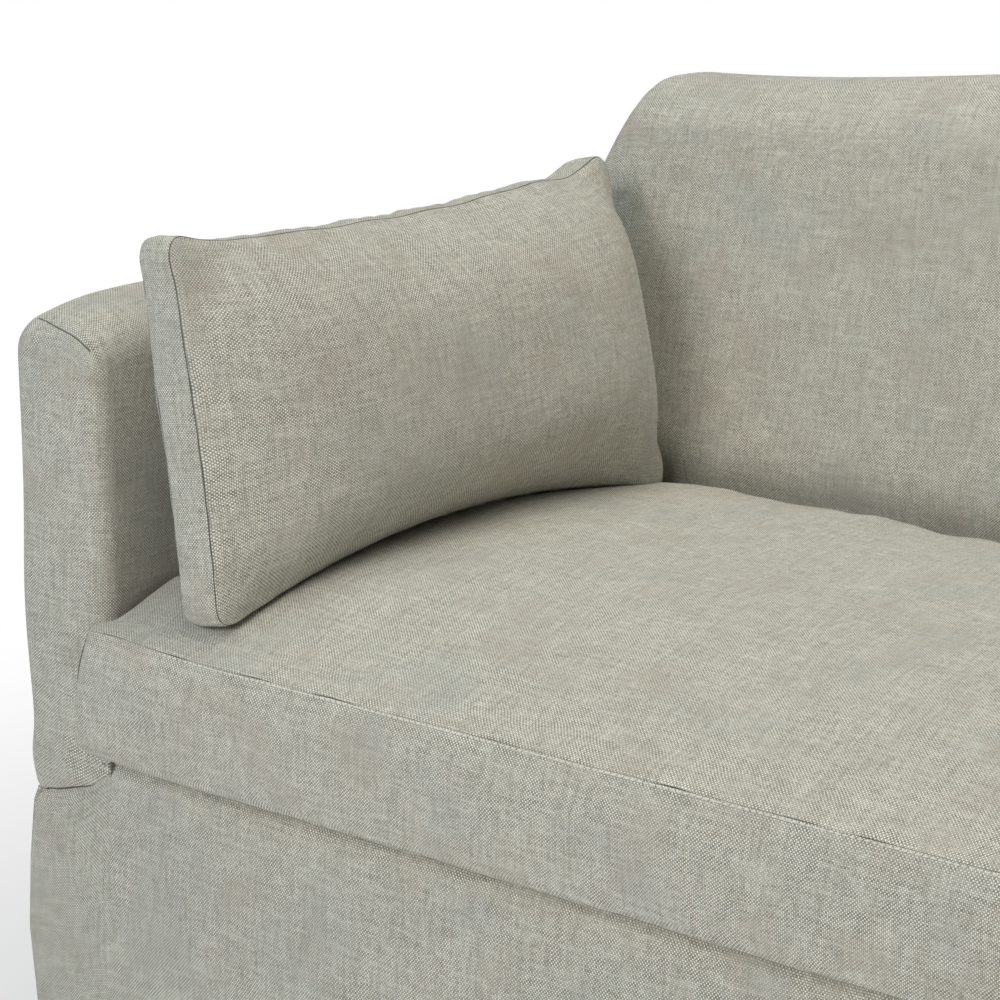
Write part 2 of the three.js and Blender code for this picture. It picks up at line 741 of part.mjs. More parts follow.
// Points round a rounded rectangle, with corners kept out and the sides drawn in between them.
function softRectangle(half_x, half_y, corner, draw_x, draw_y, counts) {
  const corners = [
    [half_x - corner, corner - half_y, -90],
    [half_x - corner, half_y - corner, 0],
    [corner - half_x, half_y - corner, 90],
    [corner - half_x, corner - half_y, 180],
  ];
  const points = [];
  corners.forEach(([x, y, from], i) => {
    const turn = arc([x, y], corner, from, from + 90, counts.corner);
    const [next_x, next_y, next_from] = corners[(i + 1) % corners.length];
    const [next] = arc([next_x, next_y], corner, next_from, next_from, 1);
    const [end_x, end_y] = turn[turn.length - 1];
    const count = i % 2 === 0 ? counts.along_y : counts.along_x;
    points.push(...turn);
    steps(0, 1, count).slice(1, -1).forEach((share) => points.push([
      THREE.MathUtils.lerp(end_x, next[0], share), THREE.MathUtils.lerp(end_y, next[1], share),
    ]));
  });
  return points.map((point) => drawIn(point, half_x, half_y, draw_x, draw_y));
}

// Bench cushion: boxed band between two seams, and a crowned top

const cushion_bottom = deck_height + seat_gap;
const cushion_front = front_y - cushion_overhang;
const cushion_half = arm_inside - cushion_clearance;
const cushion_edge = 9; // rounding of the lower edge

// Heights of the rings with their inset at the front and sides.
function cushionProfile() {
  const band = cushion_seam_height - cushion_under_seam_height;
  const belly = cushion_belly_shares
    .map(([up, in_share]) => [cushion_under_seam_height + band * up, cushion_seam_inset * in_share]);
  const crown = cushion_crown_run_shares.map((share) => {
    const run = share * cushion_crown_run;
    const rise = cushion_crown * (1 - (1 - share) ** cushion_crown_power_share);
    return [cushion_seam_height + rise, cushion_seam_inset + run];
  });
  return [
    [cushion_bottom, cushion_seam_inset],
    [cushion_bottom + cushion_edge, cushion_seam_inset / 3],
    [cushion_under_seam_height, cushion_seam_inset / 2],
    ...belly,
    [cushion_seam_height, cushion_seam_inset],
    ...crown,
  ];
}

function cushionForm(inset, counts) {
  const rings = cushionProfile().map(([height, in_all], i, all) => {
    const last = all.length - 1;
    const z = height + (i === 0 ? inset : 0) - (height > cushion_seam_height ? inset : 0);
    const in_side = in_all > cushion_seam_inset
      ? cushion_seam_inset + (in_all - cushion_seam_inset) * cushion_crown_side_share
      : in_all;
    const front = cushion_front + in_all + inset;
    const rear = insideBackY(Math.min(z, cushion_seam_height)) - cushion_back_clearance - in_all - inset;
    const half_x = cushion_half - in_side - inset;
    const half_y = (rear - front) / 2;
    const middle = (rear + front) / 2;
    const corner = Math.min(cushion_corner - inset, half_y * (i === last ? 1 : 2) / 2);
    return softRectangle(half_x, half_y, corner, cushion_draw_in, 0, counts)
      .map(([x, y]) => new THREE.Vector3(x, middle + y, z));
  });
  return loft(rings);
}

const cushion_fine = { corner: 3, along_x: 11, along_y: 5 };
const cushion_plain = { corner: 2, along_x: 5, along_y: 3 };
const cushion_rear_at_zip = insideBackY(cushion_zip_height) - cushion_back_clearance;
const cushion_slot = new THREE.BoxGeometry(cushion_zip_length, 2 * cushion_corner, zip_width);
cushion_slot.translate(0, cushion_rear_at_zip, cushion_zip_height);
addPiece("seat_cushion_core", cushionForm(cloth + seat_gap, cushion_plain), foam);
const cushion_cover = addPiece("seat_cushion_cover",
  coverGeometry(cushionForm(0, cushion_fine), cushionForm(cloth, cushion_plain), cushion_slot), linen);
const cushion_zip_tape = new THREE.BoxGeometry(
  cushion_zip_length - 2 * seat_gap, zip_thickness, zip_width - 2 * seat_gap,
);
const cushion_zip = addPiece("seat_cushion_zip", cushion_zip_tape, zip_tape);
cushion_zip.position.set(0, cushion_rear_at_zip - cloth / 2, cushion_zip_height);

// Pillows: two crowned faces sewn to a band, leaning on the arms

// Lifts the lower side where the crown of the seat pushes it up.
function overSeat([y, z], half_y, half_z) {
  const push = Math.max(0, -z / half_z) * Math.max(0, 1 - (y / half_y) ** 2);
  return [y, z + pillow_seat_hollow_depth * push];
}

function pillowForm(inset, inward, counts) {
  const edge = pillow_band / 2 - inset;
  const face = (crown, sign) => pillow_crown_shares.map((share) => (
    [sign * (edge + crown * (1 - share ** pillow_crown_power_share)), share, 0]
  ));
  const profile = [
    ...face(pillow_outer_crown, -1),
    [-edge, 1, 0],
    [0, 1, pillow_band_bulge],
    [edge, 1, 0],
    ...face(pillow_inner_crown, 1).reverse(),
  ];
  const half_y = pillow_length / 2 - inset;
  const half_z = pillow_height / 2 - inset;
  const [middle_share] = pillow_crown_shares;
  const rings = profile.map(([out, share, bulge]) => softRectangle(
    half_y * share + bulge, half_z * share + bulge, (pillow_corner - inset) * share,
    pillow_draw_in_end * share, pillow_draw_in_side * share, counts,
  ).map((point) => {
    const [y, z] = overSeat(point, half_y, half_z);
    const near_corner = Math.abs(point[0] * point[1]) / (half_y * half_z * share * share);
    const thin = pillow_corner_thin_share * THREE.MathUtils.inverseLerp(middle_share, 1, share);
    const puff = (Math.abs(out) - edge) * (1 - thin * near_corner);
    const stand = Math.abs(out) > edge ? Math.sign(out) * (edge + puff) : out;
    return new THREE.Vector3(inward * stand, y, z);
  }));
  return loft(rings);
}

// A strip along the lower side of the band, between two depths from the band's outer face.
function lowerStrip(width, from_depth, to_depth, end_gap) {
  const half_y = pillow_length / 2;
  const half_z = pillow_height / 2;
  const step = 2 * (half_y - pillow_corner) / pillow_counts.along_x;
  const reach = step * pillow_zip_stations - end_gap;
  const rings = steps(-reach, reach, 2 * pillow_zip_stations).map((along) => {
    const half = width / 2;
    const points = [[-half, from_depth], [half, from_depth], [half, to_depth], [-half, to_depth]];
    return points.map(([x, depth]) => {
      const low = [along, -half_z - pillow_band_bulge];
      const drawn = drawIn(low, half_y + pillow_band_bulge, half_z + pillow_band_bulge,
        pillow_draw_in_end, pillow_draw_in_side);
      const [y, z] = overSeat(drawn, half_y, half_z);
      return new THREE.Vector3(x, y, z + depth);
    });
  });
  return loft(rings);
}

// The drop that brings a piece down onto the one that carries it, measured both ways between them.
function dropOnto(piece, support) {
  piece.updateWorldMatrix(true, false);
  support.updateWorldMatrix(true, false);
  const ray = new THREE.Raycaster();
  const lowest = (from, onto, direction) => {
    const place = from.geometry.attributes.position;
    const corner = (i) => new THREE.Vector3().fromBufferAttribute(place, i).applyMatrix4(from.matrixWorld);
    const index = from.geometry.index.array;
    let drop = Infinity;
    for (let i = 0; i < index.length; i += 3) {
      const start = corner(index[i]);
      const end = corner(index[i + 1]);
      steps(0, 1, rest_samples).forEach((share) => {
        ray.set(start.clone().lerp(end, share), direction);
        ray.intersectObject(onto).forEach((hit) => { drop = Math.min(drop, hit.distance); });
      });
    }
    return drop;
  };
  const down = new THREE.Vector3(0, 0, -1);
  const up = new THREE.Vector3(0, 0, 1);
  return Math.min(lowest(piece, support, down), lowest(support, piece, up));
}

const pillow_counts = { corner: 2, along_x: 8, along_y: 3 };
const pillow_inner_counts = { corner: 1, along_x: 8, along_y: 3 };
const pillow_start_height = cushion_seam_height + cushion_crown + pillow_height;
let pillow_drop = 0;
for (const [hand, side] of sides) {
  const pillow = new THREE.Group();
  pillow.rotation.set(0, side * pillow_lean, side * pillow_turn, "ZYX");
  const pillow_y = seat_line_y - pillow_from_back;
  pillow.position.set(side * (arm_inside - pillow_from_arm), pillow_y, pillow_start_height);
  sofa.add(pillow);
  addPiece(`${hand}_pillow_insert`, pillowForm(cloth + seat_gap, -side, pillow_inner_counts), foam, pillow);
  const shell = coverGeometry(
    pillowForm(0, -side, pillow_counts),
    pillowForm(cloth, -side, pillow_inner_counts),
    lowerStrip(zip_width, -overrun, cloth + overrun, 0),
  );
  const cover = addPiece(`${hand}_pillow_cover`, shell, linen, pillow);
  if (pillow_drop === 0) {
    pillow_drop = dropOnto(cover, cushion_cover) - seat_gap;
  }
  pillow.position.z -= pillow_drop;
  const zip_rear = zip_recess_depth + zip_thickness;
  const zip = lowerStrip(zip_width - 2 * seat_gap, zip_recess_depth, zip_rear, seat_gap);
  addPiece(`${hand}_pillow_zip`, zip, zip_tape, pillow);
}

export default sofa;
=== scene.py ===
"""Camelback sofa: linen covers, bench cushion, two boxed pillows, skirt, frame and springs. Metres, +Z up."""

import logging
import math
from dataclasses import dataclass, field
from enum import Enum
from typing import Callable, Optional, Union

import bpy
import numpy as np
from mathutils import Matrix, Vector
from mathutils.bvhtree import BVHTree


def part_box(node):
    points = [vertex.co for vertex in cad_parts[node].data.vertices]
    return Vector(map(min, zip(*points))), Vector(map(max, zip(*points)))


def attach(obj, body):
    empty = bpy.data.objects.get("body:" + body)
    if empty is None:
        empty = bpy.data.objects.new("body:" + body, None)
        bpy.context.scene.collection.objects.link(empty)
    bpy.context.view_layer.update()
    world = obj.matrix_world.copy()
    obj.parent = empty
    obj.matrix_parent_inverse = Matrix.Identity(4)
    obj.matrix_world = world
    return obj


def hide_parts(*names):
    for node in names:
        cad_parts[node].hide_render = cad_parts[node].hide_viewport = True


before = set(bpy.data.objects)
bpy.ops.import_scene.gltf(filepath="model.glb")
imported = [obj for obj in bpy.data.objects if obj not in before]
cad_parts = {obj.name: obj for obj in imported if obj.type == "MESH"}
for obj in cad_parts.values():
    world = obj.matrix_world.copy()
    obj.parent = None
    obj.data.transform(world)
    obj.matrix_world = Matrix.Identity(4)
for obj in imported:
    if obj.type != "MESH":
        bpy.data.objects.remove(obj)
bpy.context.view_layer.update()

LOG = logging.getLogger("camelback_sofa")
WEAVE_MAP = "weave"
SEAM_MAP = "seam"
SEAM_END_MAP = "seam_end"
SEAM_REACH = 0.012

Array = np.ndarray
Number = Union[int, float]


# Measures of the sofa that all its pieces share


@dataclass(frozen=True)
class Body:
    """The main faces and curves of the upholstered body, read from the frame."""

    half_width: float
    arm_inside: float
    front: float
    rear: float
    arm_height: float
    deck_height: float
    crest: float
    seat_depth: float = 0.620
    seat_line: float = 0.505
    recline: float = math.radians(13)
    shoulder_run: float = 0.110
    shoulder_rise: float = 0.148
    seam_foot: float = 0.294
    seam_curve: float = 2.2

    @classmethod
    def from_frame(cls) -> "Body":
        """Reads the sofa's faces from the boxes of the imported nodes.

        Returns:
            The measures of this sofa.
        """
        panel_low, panel_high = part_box("left_arm_front_panel")
        back_low, back_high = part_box("outside_back_cover")
        return cls(
            half_width=back_high.x,
            arm_inside=-panel_high.x,
            front=panel_low.y,
            rear=back_high.y,
            arm_height=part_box("left_arm_cover")[1].z,
            deck_height=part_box("deck_cover")[1].z,
            crest=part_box("inside_back_cover")[1].z,
        )

    @property
    def arm_width(self) -> float:
        """How wide an arm is."""
        return self.half_width - self.arm_inside

    def inside_back(self, z: Array) -> Array:
        """The front of the reclined inside back.

        Args:
            z: Heights.

        Returns:
            The place from front to back at each height.
        """
        return self.front + self.seat_depth + (z - self.seat_line) * math.tan(self.recline)

    def back_top(self, x: Array) -> Array:
        """The camel outline: a steep shoulder beside each arm and a slow rise to the hump.

        Args:
            x: Places across the sofa.

        Returns:
            The height of the top of the back at each place.
        """
        run = self.arm_inside - np.abs(x)
        shoulder = np.clip(run / self.shoulder_run, 0, 1)
        steep = shoulder**3 * (shoulder * (6 * shoulder - 15) + 10)
        hump = np.clip((run - self.shoulder_run) / (self.arm_inside - self.shoulder_run), 0, 1)
        crest_rise = self.crest - self.arm_height - self.shoulder_rise
        return self.arm_height + self.shoulder_rise * steep + crest_rise * hump**2 * (3 - 2 * hump)

    def seam_height(self, x: Array) -> Array:
        """The seam between the covers and the skirt, which climbs from the arm's outside to the deck.

        Args:
            x: Places across the sofa.

        Returns:
            The height of the seam at each place.
        """
        along = np.clip((self.half_width - np.abs(x)) / self.arm_width, 0, 1)
        return self.seam_foot + (self.deck_height - self.seam_foot) * along**self.seam_curve


# Small mathematics for soft forms


def smooth(value: Array, low: float, high: float) -> Array:
    """A smooth step from 0 at low to 1 at high.

    Args:
        value: The values to map.
        low: Where the step starts.
        high: Where the step ends.

    Returns:
        The step at each value.
    """
    share = np.clip((value - low) / (high - low), 0, 1)
    return share * share * (3 - 2 * share)


def bump(distance: Array, width: float) -> Array:
    """A smooth bell: 1 at distance 0, and small past width.

    Args:
        distance: Distances from the bell's middle.
        width: How wide the bell is.

    Returns:
        The bell at each distance.
    """
    return np.exp(-((distance / width) ** 2))


def swell(share: Array, power: float) -> Array:
    """The rise of a stuffed panel: 0 at its seam, 1 in its middle.

    Args:
        share: How far in from the seam, where 1 is the middle.
        power: How full the panel is.

    Returns:
        The rise at each share.
    """
    return 1 - (1 - np.clip(share, 0, 1)) ** power


def ripple(a: Array, b: Array, seed: int, pitch: float, count: int = 7) -> Array:
    """Soft irregular waves over a cloth, the same for the same seed.

    Args:
        a: Places along the cloth.
        b: Places across the cloth.
        seed: Which waves.
        pitch: The mean length of a wave.
        count: How many waves are added.

    Returns:
        A height from about -1 to 1 at each place.
    """
    dice = np.random.default_rng(seed)
    total = np.zeros(np.broadcast(a, b).shape)
    for _ in range(count):
        turn = dice.uniform(0, 2 * math.pi)
        length = pitch * dice.uniform(0.6, 1.6)
        phase = dice.uniform(0, 2 * math.pi)
        total += np.sin(2 * math.pi * (a * math.cos(turn) + b * math.sin(turn)) / length + phase)
    return total / math.sqrt(count)


def spaced(low: float, high: float, step: float, fine: tuple[float, ...] = ()) -> Array:
    """Places from low to high, a step apart, with finer ones near both ends.

    Args:
        low: The first place.
        high: The last place.
        step: The distance between places in the middle.
        fine: Distances from each end that get a place of their own.

    Returns:
        The places in order.
    """
    reach = fine[-1] if fine else 0.0
    count = max(2, round((high - low - 2 * reach) / step))
    middle = np.linspace(low + reach, high - reach, count + 1)
    near = np.array([0.0, *fine[:-1]]) if fine else np.empty(0)
    return np.concatenate([low + near, middle, high - near[::-1]])


# Making meshes


def clear_selection() -> None:
    """Leaves object mode with nothing selected."""
    if bpy.context.object is not None and bpy.context.object.mode != "OBJECT":
        bpy.ops.object.mode_set(mode="OBJECT")
    bpy.ops.object.select_all(action="DESELECT")


def choose(*pieces: bpy.types.Object) -> None:
    """Selects these pieces and makes the first one active."""
    clear_selection()
    for piece in pieces:
        piece.select_set(True)
    bpy.context.view_layer.objects.active = pieces[0]


@dataclass
class Panel:
    """A cloth panel: a grid whose columns and rows are laid onto a surface, with its weave in metres."""

    name: str
    columns: Array
    rows: Array

    def lay(
        self,
        surface: Callable[[Array, Array], Array],
        weave: Callable[..., tuple],
        to_seam: Optional[Callable[[Array, Array], object]] = None,
    ) -> bpy.types.Object:
        """Adds the grid and moves its corners onto the surface.

        Args:
            surface: Gives the points in the sofa for columns and rows.
            weave: Gives the two weave coordinates in metres for the columns and rows of a face's
                corners and the column and row of its middle.
            to_seam: Gives the distance to the nearest sewn edge, or the signed distance to the line
                of a seam and the distance past its ends.

        Returns:
            The panel, smooth, with its weave and seam maps.
        """
        clear_selection()
        across, along = len(self.columns) - 1, len(self.rows) - 1
        bpy.ops.mesh.primitive_grid_add(x_subdivisions=across, y_subdivisions=along, size=2)
        panel = bpy.context.object
        panel.name = self.name
        mesh = panel.data
        flat = np.zeros(len(mesh.vertices) * 3)
        mesh.vertices.foreach_get("co", flat)
        flat = flat.reshape(-1, 3)
        column = np.rint((flat[:, 0] + 1) / 2 * across).astype(int)
        row = np.rint((flat[:, 1] + 1) / 2 * along).astype(int)
        u, v = self.columns[column], self.rows[row]
        mesh.vertices.foreach_set("co", np.asarray(surface(u, v), float).reshape(-1, 3).ravel())
        corner = np.zeros(len(mesh.loops), int)
        mesh.loops.foreach_get("vertex_index", corner)
        faces = corner.reshape(-1, 4)
        middle_u, middle_v = (np.repeat(part[faces].mean(axis=1), 4) for part in (u, v))
        weave_u, weave_v = weave(u[corner], v[corner], middle_u, middle_v)
        layer = mesh.uv_layers[0]
        layer.name = WEAVE_MAP
        layer.data.foreach_set("uv", np.stack(np.broadcast_arrays(weave_u, weave_v), axis=1).ravel())
        found = np.full(len(u), SEAM_REACH) if to_seam is None else to_seam(u, v)
        aside, past = found if isinstance(found, tuple) else (found, np.zeros(len(u)))
        for name, value in ((SEAM_MAP, 0.5 + aside / SEAM_REACH / 2), (SEAM_END_MAP, past / SEAM_REACH)):
            mesh.attributes.new(name, "FLOAT", "POINT").data.foreach_set("value", np.clip(value, 0, 1))
        bpy.ops.object.shade_smooth()
        mesh.update()
        return panel


def stack(x: Array, y: Array, z: Array) -> Array:
    """Three coordinates as one array of points."""
    return np.stack(np.broadcast_arrays(x, y, z), axis=-1)


def sew(name: str, panels: list[bpy.types.Object], within: float = 0.0002) -> bpy.types.Object:
    """Joins panels into one piece and merges the edges that meet.

    Args:
        name: The name of the piece.
        panels: The panels, whose edges lie on each other.
        within: How close corners are to be merged.

    Returns:
        The piece, with its faces outwards.
    """
    choose(*panels)
    if len(panels) > 1:
        bpy.ops.object.join()
    piece = bpy.context.object
    piece.name = name
    piece.data.name = name
    bpy.ops.object.mode_set(mode="EDIT")
    bpy.ops.mesh.select_all(action="SELECT")
    bpy.ops.mesh.remove_doubles(threshold=within)
    bpy.ops.mesh.normals_make_consistent(inside=False)
    bpy.ops.object.mode_set(mode="OBJECT")
    return piece


def thicken(piece: bpy.types.Object, thickness: float) -> bpy.types.Object:
    """Gives a cloth its thickness, inwards.

    Args:
        piece: The open cloth.
        thickness: How thick it is.

    Returns:
        The same piece.
    """
    choose(piece)
    solidify = piece.modifiers.new("cloth", "SOLIDIFY")
    solidify.thickness = thickness
    solidify.offset = -1
    bpy.ops.object.modifier_apply(modifier=solidify.name)
    return piece


def points_of(piece: bpy.types.Object) -> Array:
    """The corners of a piece as an array of points."""
    flat = np.zeros(len(piece.data.vertices) * 3)
    piece.data.vertices.foreach_get("co", flat)
    return flat.reshape(-1, 3)


def set_points(piece: bpy.types.Object, points: Array) -> None:
    """Moves the corners of a piece."""
    piece.data.vertices.foreach_set("co", points.ravel())
    piece.data.update()


def mirrored(piece: bpy.types.Object, name: str) -> bpy.types.Object:
    """A copy of a piece on the other side of the sofa, with its own mesh and its faces outwards.

    Args:
        piece: The piece to copy.
        name: The copy's name.

    Returns:
        The copy.
    """
    copy = piece.copy()
    copy.data = piece.data.copy()
    copy.name = name
    copy.data.name = name
    bpy.context.scene.collection.objects.link(copy)
    set_points(copy, points_of(copy) * np.array([-1, 1, 1]))
    choose(copy)
    bpy.ops.object.mode_set(mode="EDIT")
    bpy.ops.mesh.select_all(action="SELECT")
    bpy.ops.mesh.flip_normals()
    bpy.ops.object.mode_set(mode="OBJECT")
    return copy


# Shader expressions


class Net:
    """The node tree of one material."""

    def __init__(self, name: str) -> None:
        """Starts a material with only its output.

        Args:
            name: The material's name.
        """
        self.material = bpy.data.materials.new(f"{name}_finish")
        self.material.use_nodes = True
        self.tree = self.material.node_tree
        self.tree.nodes.clear()
        self.output = self.tree.nodes.new("ShaderNodeOutputMaterial")

    def node(self, kind: str, settings: Optional[dict] = None, **inputs: object) -> bpy.types.Node:
        """Adds a node.

        Args:
            kind: The node's type.
            settings: Properties of the node, set before its sockets. stops fills a colour ramp.
            inputs: Values or links by socket name, with _ for a blank, or s0, s1 and so on by number.

        Returns:
            The node.
        """
        made = self.tree.nodes.new(kind)
        for key, value in (settings or {}).items():
            if key == "stops":
                self._fill_ramp(made.color_ramp, value)
            else:
                setattr(made, key, value)
        for key, value in inputs.items():
            by_number = key[0] == "s" and key[1:].isdigit()
            socket = made.inputs[int(key[1:])] if by_number else made.inputs[key.replace("_", " ")]
            if isinstance(value, Wire):
                self.tree.links.new(value.socket, socket)
            else:
                socket.default_value = value
        return made

    @staticmethod
    def _fill_ramp(ramp: bpy.types.ColorRamp, stops: list[tuple]) -> None:
        """Sets a colour ramp's stops."""
        while len(ramp.elements) < len(stops):
            ramp.elements.new(1.0)
        for element, (place, colour) in zip(ramp.elements, stops):
            element.position = place
            element.color = colour if len(colour) == 4 else (*colour, 1.0)

    def math(self, operation: str, *values: Union["Wire", Number], clamp: bool = False) -> "Wire":
        """Adds a Math node.

        Args:
            operation: Blender's name of the operation.
            values: Its inputs.
            clamp: Keeps the result from 0 to 1.

        Returns:
            The result.
        """
        inputs = {f"s{i}": value for i, value in enumerate(values)}
        made = self.node("ShaderNodeMath", {"operation": operation, "use_clamp": clamp}, **inputs)
        return Wire(self, made.outputs[0])

    def mix(self, share: Union["Wire", Number], low: object, high: object) -> "Wire":
        """Mixes two colours.

        Args:
            share: How much of the second.
            low: The first colour.
            high: The second colour.

        Returns:
            The mixed colour.
        """
        made = self.node("ShaderNodeMix", {"data_type": "RGBA"}, s0=share, s6=low, s7=high)
        return Wire(self, made.outputs[2])

    def vector(self, x: object, y: object, z: object = 0.0) -> "Wire":
        """Joins three numbers to a vector."""
        return Wire(self, self.node("ShaderNodeCombineXYZ", s0=x, s1=y, s2=z).outputs[0])

    def noise(self, place: "Wire", scale: float, detail: float = 2.0, rough: float = 0.5) -> "Wire":
        """Smooth noise from about 0 to 1.

        Args:
            place: Where it is read.
            scale: Waves in a metre.
            detail: How many finer layers it has.
            rough: How strong those are.

        Returns:
            The noise.
        """
        made = self.node("ShaderNodeTexNoise", Vector=place, Scale=scale, Detail=detail, Roughness=rough)
        return Wire(self, made.outputs[0])

    def dice(self, place: "Wire") -> "Wire":
        """A random number from 0 to 1 for each whole place."""
        made = self.node("ShaderNodeTexWhiteNoise", {"noise_dimensions": "3D"}, Vector=place)
        return Wire(self, made.outputs[0])

    def weave_place(self) -> tuple["Wire", "Wire"]:
        """The two weave coordinates in metres."""
        made = self.node("ShaderNodeUVMap", {"uv_map": WEAVE_MAP})
        parts = self.node("ShaderNodeSeparateXYZ", Vector=Wire(self, made.outputs[0]))
        return Wire(self, parts.outputs[0]), Wire(self, parts.outputs[1])

    def seam_distance(self) -> "Wire":
        """How far the nearest sewn edge is, in metres, up to the reach of the seam map. It places the painted seam
        shade.
        """
        aside, past = (
            Wire(self, self.node("ShaderNodeAttribute", {"attribute_name": name}).outputs["Fac"])
            for name in (SEAM_MAP, SEAM_END_MAP)
        )
        aside = (aside - 0.5) * 2.0
        return (aside * aside + past * past).power(0.5) * SEAM_REACH

    def object_place(self) -> "Wire":
        """The place in the sofa in metres."""
        return Wire(self, self.node("ShaderNodeTexCoord").outputs["Object"])

    def along(self, place: "Wire", scale: tuple[float, float, float], turn: tuple = (0.0, 0.0, 0.0)) -> "Wire":
        """A place stretched and turned for a pattern.

        Args:
            place: The place.
            scale: How far it is stretched along each axis.
            turn: How far it is turned round each axis.

        Returns:
            The new place.
        """
        made = self.node("ShaderNodeMapping", Vector=place, Scale=scale, Rotation=turn)
        return Wire(self, made.outputs[0])

    def shader(self, colour: object, height: Optional["Wire"] = None, depth: float = 0.0, **sockets: object) -> None:
        """Ends the material with a principled shader.

        Args:
            colour: The base colour.
            height: The relief, from 0 to 1.
            depth: How deep the relief is, in metres.
            sockets: Values or links of the shader's other sockets.
        """
        if height is not None:
            relief = self.node("ShaderNodeBump", Strength=1.0, Distance=depth, Height=height)
            sockets["Normal"] = Wire(self, relief.outputs[0])
        made = self.node("ShaderNodeBsdfPrincipled", Base_Color=colour, **sockets)
        self.tree.links.new(made.outputs[0], self.output.inputs[0])


class Wire:
    """A shader socket that can be added, subtracted, multiplied and divided."""

    def __init__(self, net: Net, socket: bpy.types.NodeSocket) -> None:
        """Keeps the socket with its net."""
        self.net = net
        self.socket = socket

    def __add__(self, other: object) -> "Wire":
        """This plus other."""
        return self.net.math("ADD", self, other)

    def __radd__(self, other: object) -> "Wire":
        """Other plus this."""
        return self.net.math("ADD", other, self)

    def __sub__(self, other: object) -> "Wire":
        """This less other."""
        return self.net.math("SUBTRACT", self, other)

    def __rsub__(self, other: object) -> "Wire":
        """Other less this."""
        return self.net.math("SUBTRACT", other, self)

    def __mul__(self, other: object) -> "Wire":
        """This times other."""
        return self.net.math("MULTIPLY", self, other)

    def __rmul__(self, other: object) -> "Wire":
        """Other times this."""
        return self.net.math("MULTIPLY", other, self)

    def __truediv__(self, other: object) -> "Wire":
        """This divided by other."""
        return self.net.math("DIVIDE", self, other)

    def __neg__(self) -> "Wire":
        """This with its sign turned."""
        return self.net.math("MULTIPLY", self, -1.0)

    def whole(self) -> "Wire":
        """The whole part."""
        return self.net.math("FLOOR", self)

    def part(self) -> "Wire":
        """The part past the whole."""
        return self.net.math("FRACT", self)

    def power(self, exponent: float) -> "Wire":
        """This to a power."""
        return self.net.math("POWER", self, exponent)

    def wave(self) -> "Wire":
        """The sine."""
        return self.net.math("SINE", self)

    def size(self) -> "Wire":
        """This without its sign."""
        return self.net.math("ABSOLUTE", self)

    def above(self, limit: object) -> "Wire":
        """1 where this is over the limit, else 0."""
        return self.net.math("GREATER_THAN", self, limit)

    def clamped(self) -> "Wire":
        """This kept from 0 to 1."""
        return self.net.math("ADD", self, 0.0, clamp=True)

    def step(self, low: float, high: float) -> "Wire":
        """A smooth step from 0 at low to 1 at high."""
        settings = {"interpolation_type": "SMOOTHSTEP"}
        made = self.net.node("ShaderNodeMapRange", settings, Value=self, From_Min=low, From_Max=high)
        return Wire(self.net, made.outputs[0])


def srgb(red: Number, green: Number, blue: Number) -> tuple[float, float, float, float]:
    """A colour as a paint card gives it, from 0 to 255, for the shader.

    Args:
        red: Red.
        green: Green.
        blue: Blue.

    Returns:
        The linear colour.
    """
    shares = (value / 255 for value in (red, green, blue))
    linear = [s / 12.92 if s <= 0.04045 else ((s + 0.055) / 1.055) ** 2.4 for s in shares]
    return (*linear, 1.0)


# Finishes


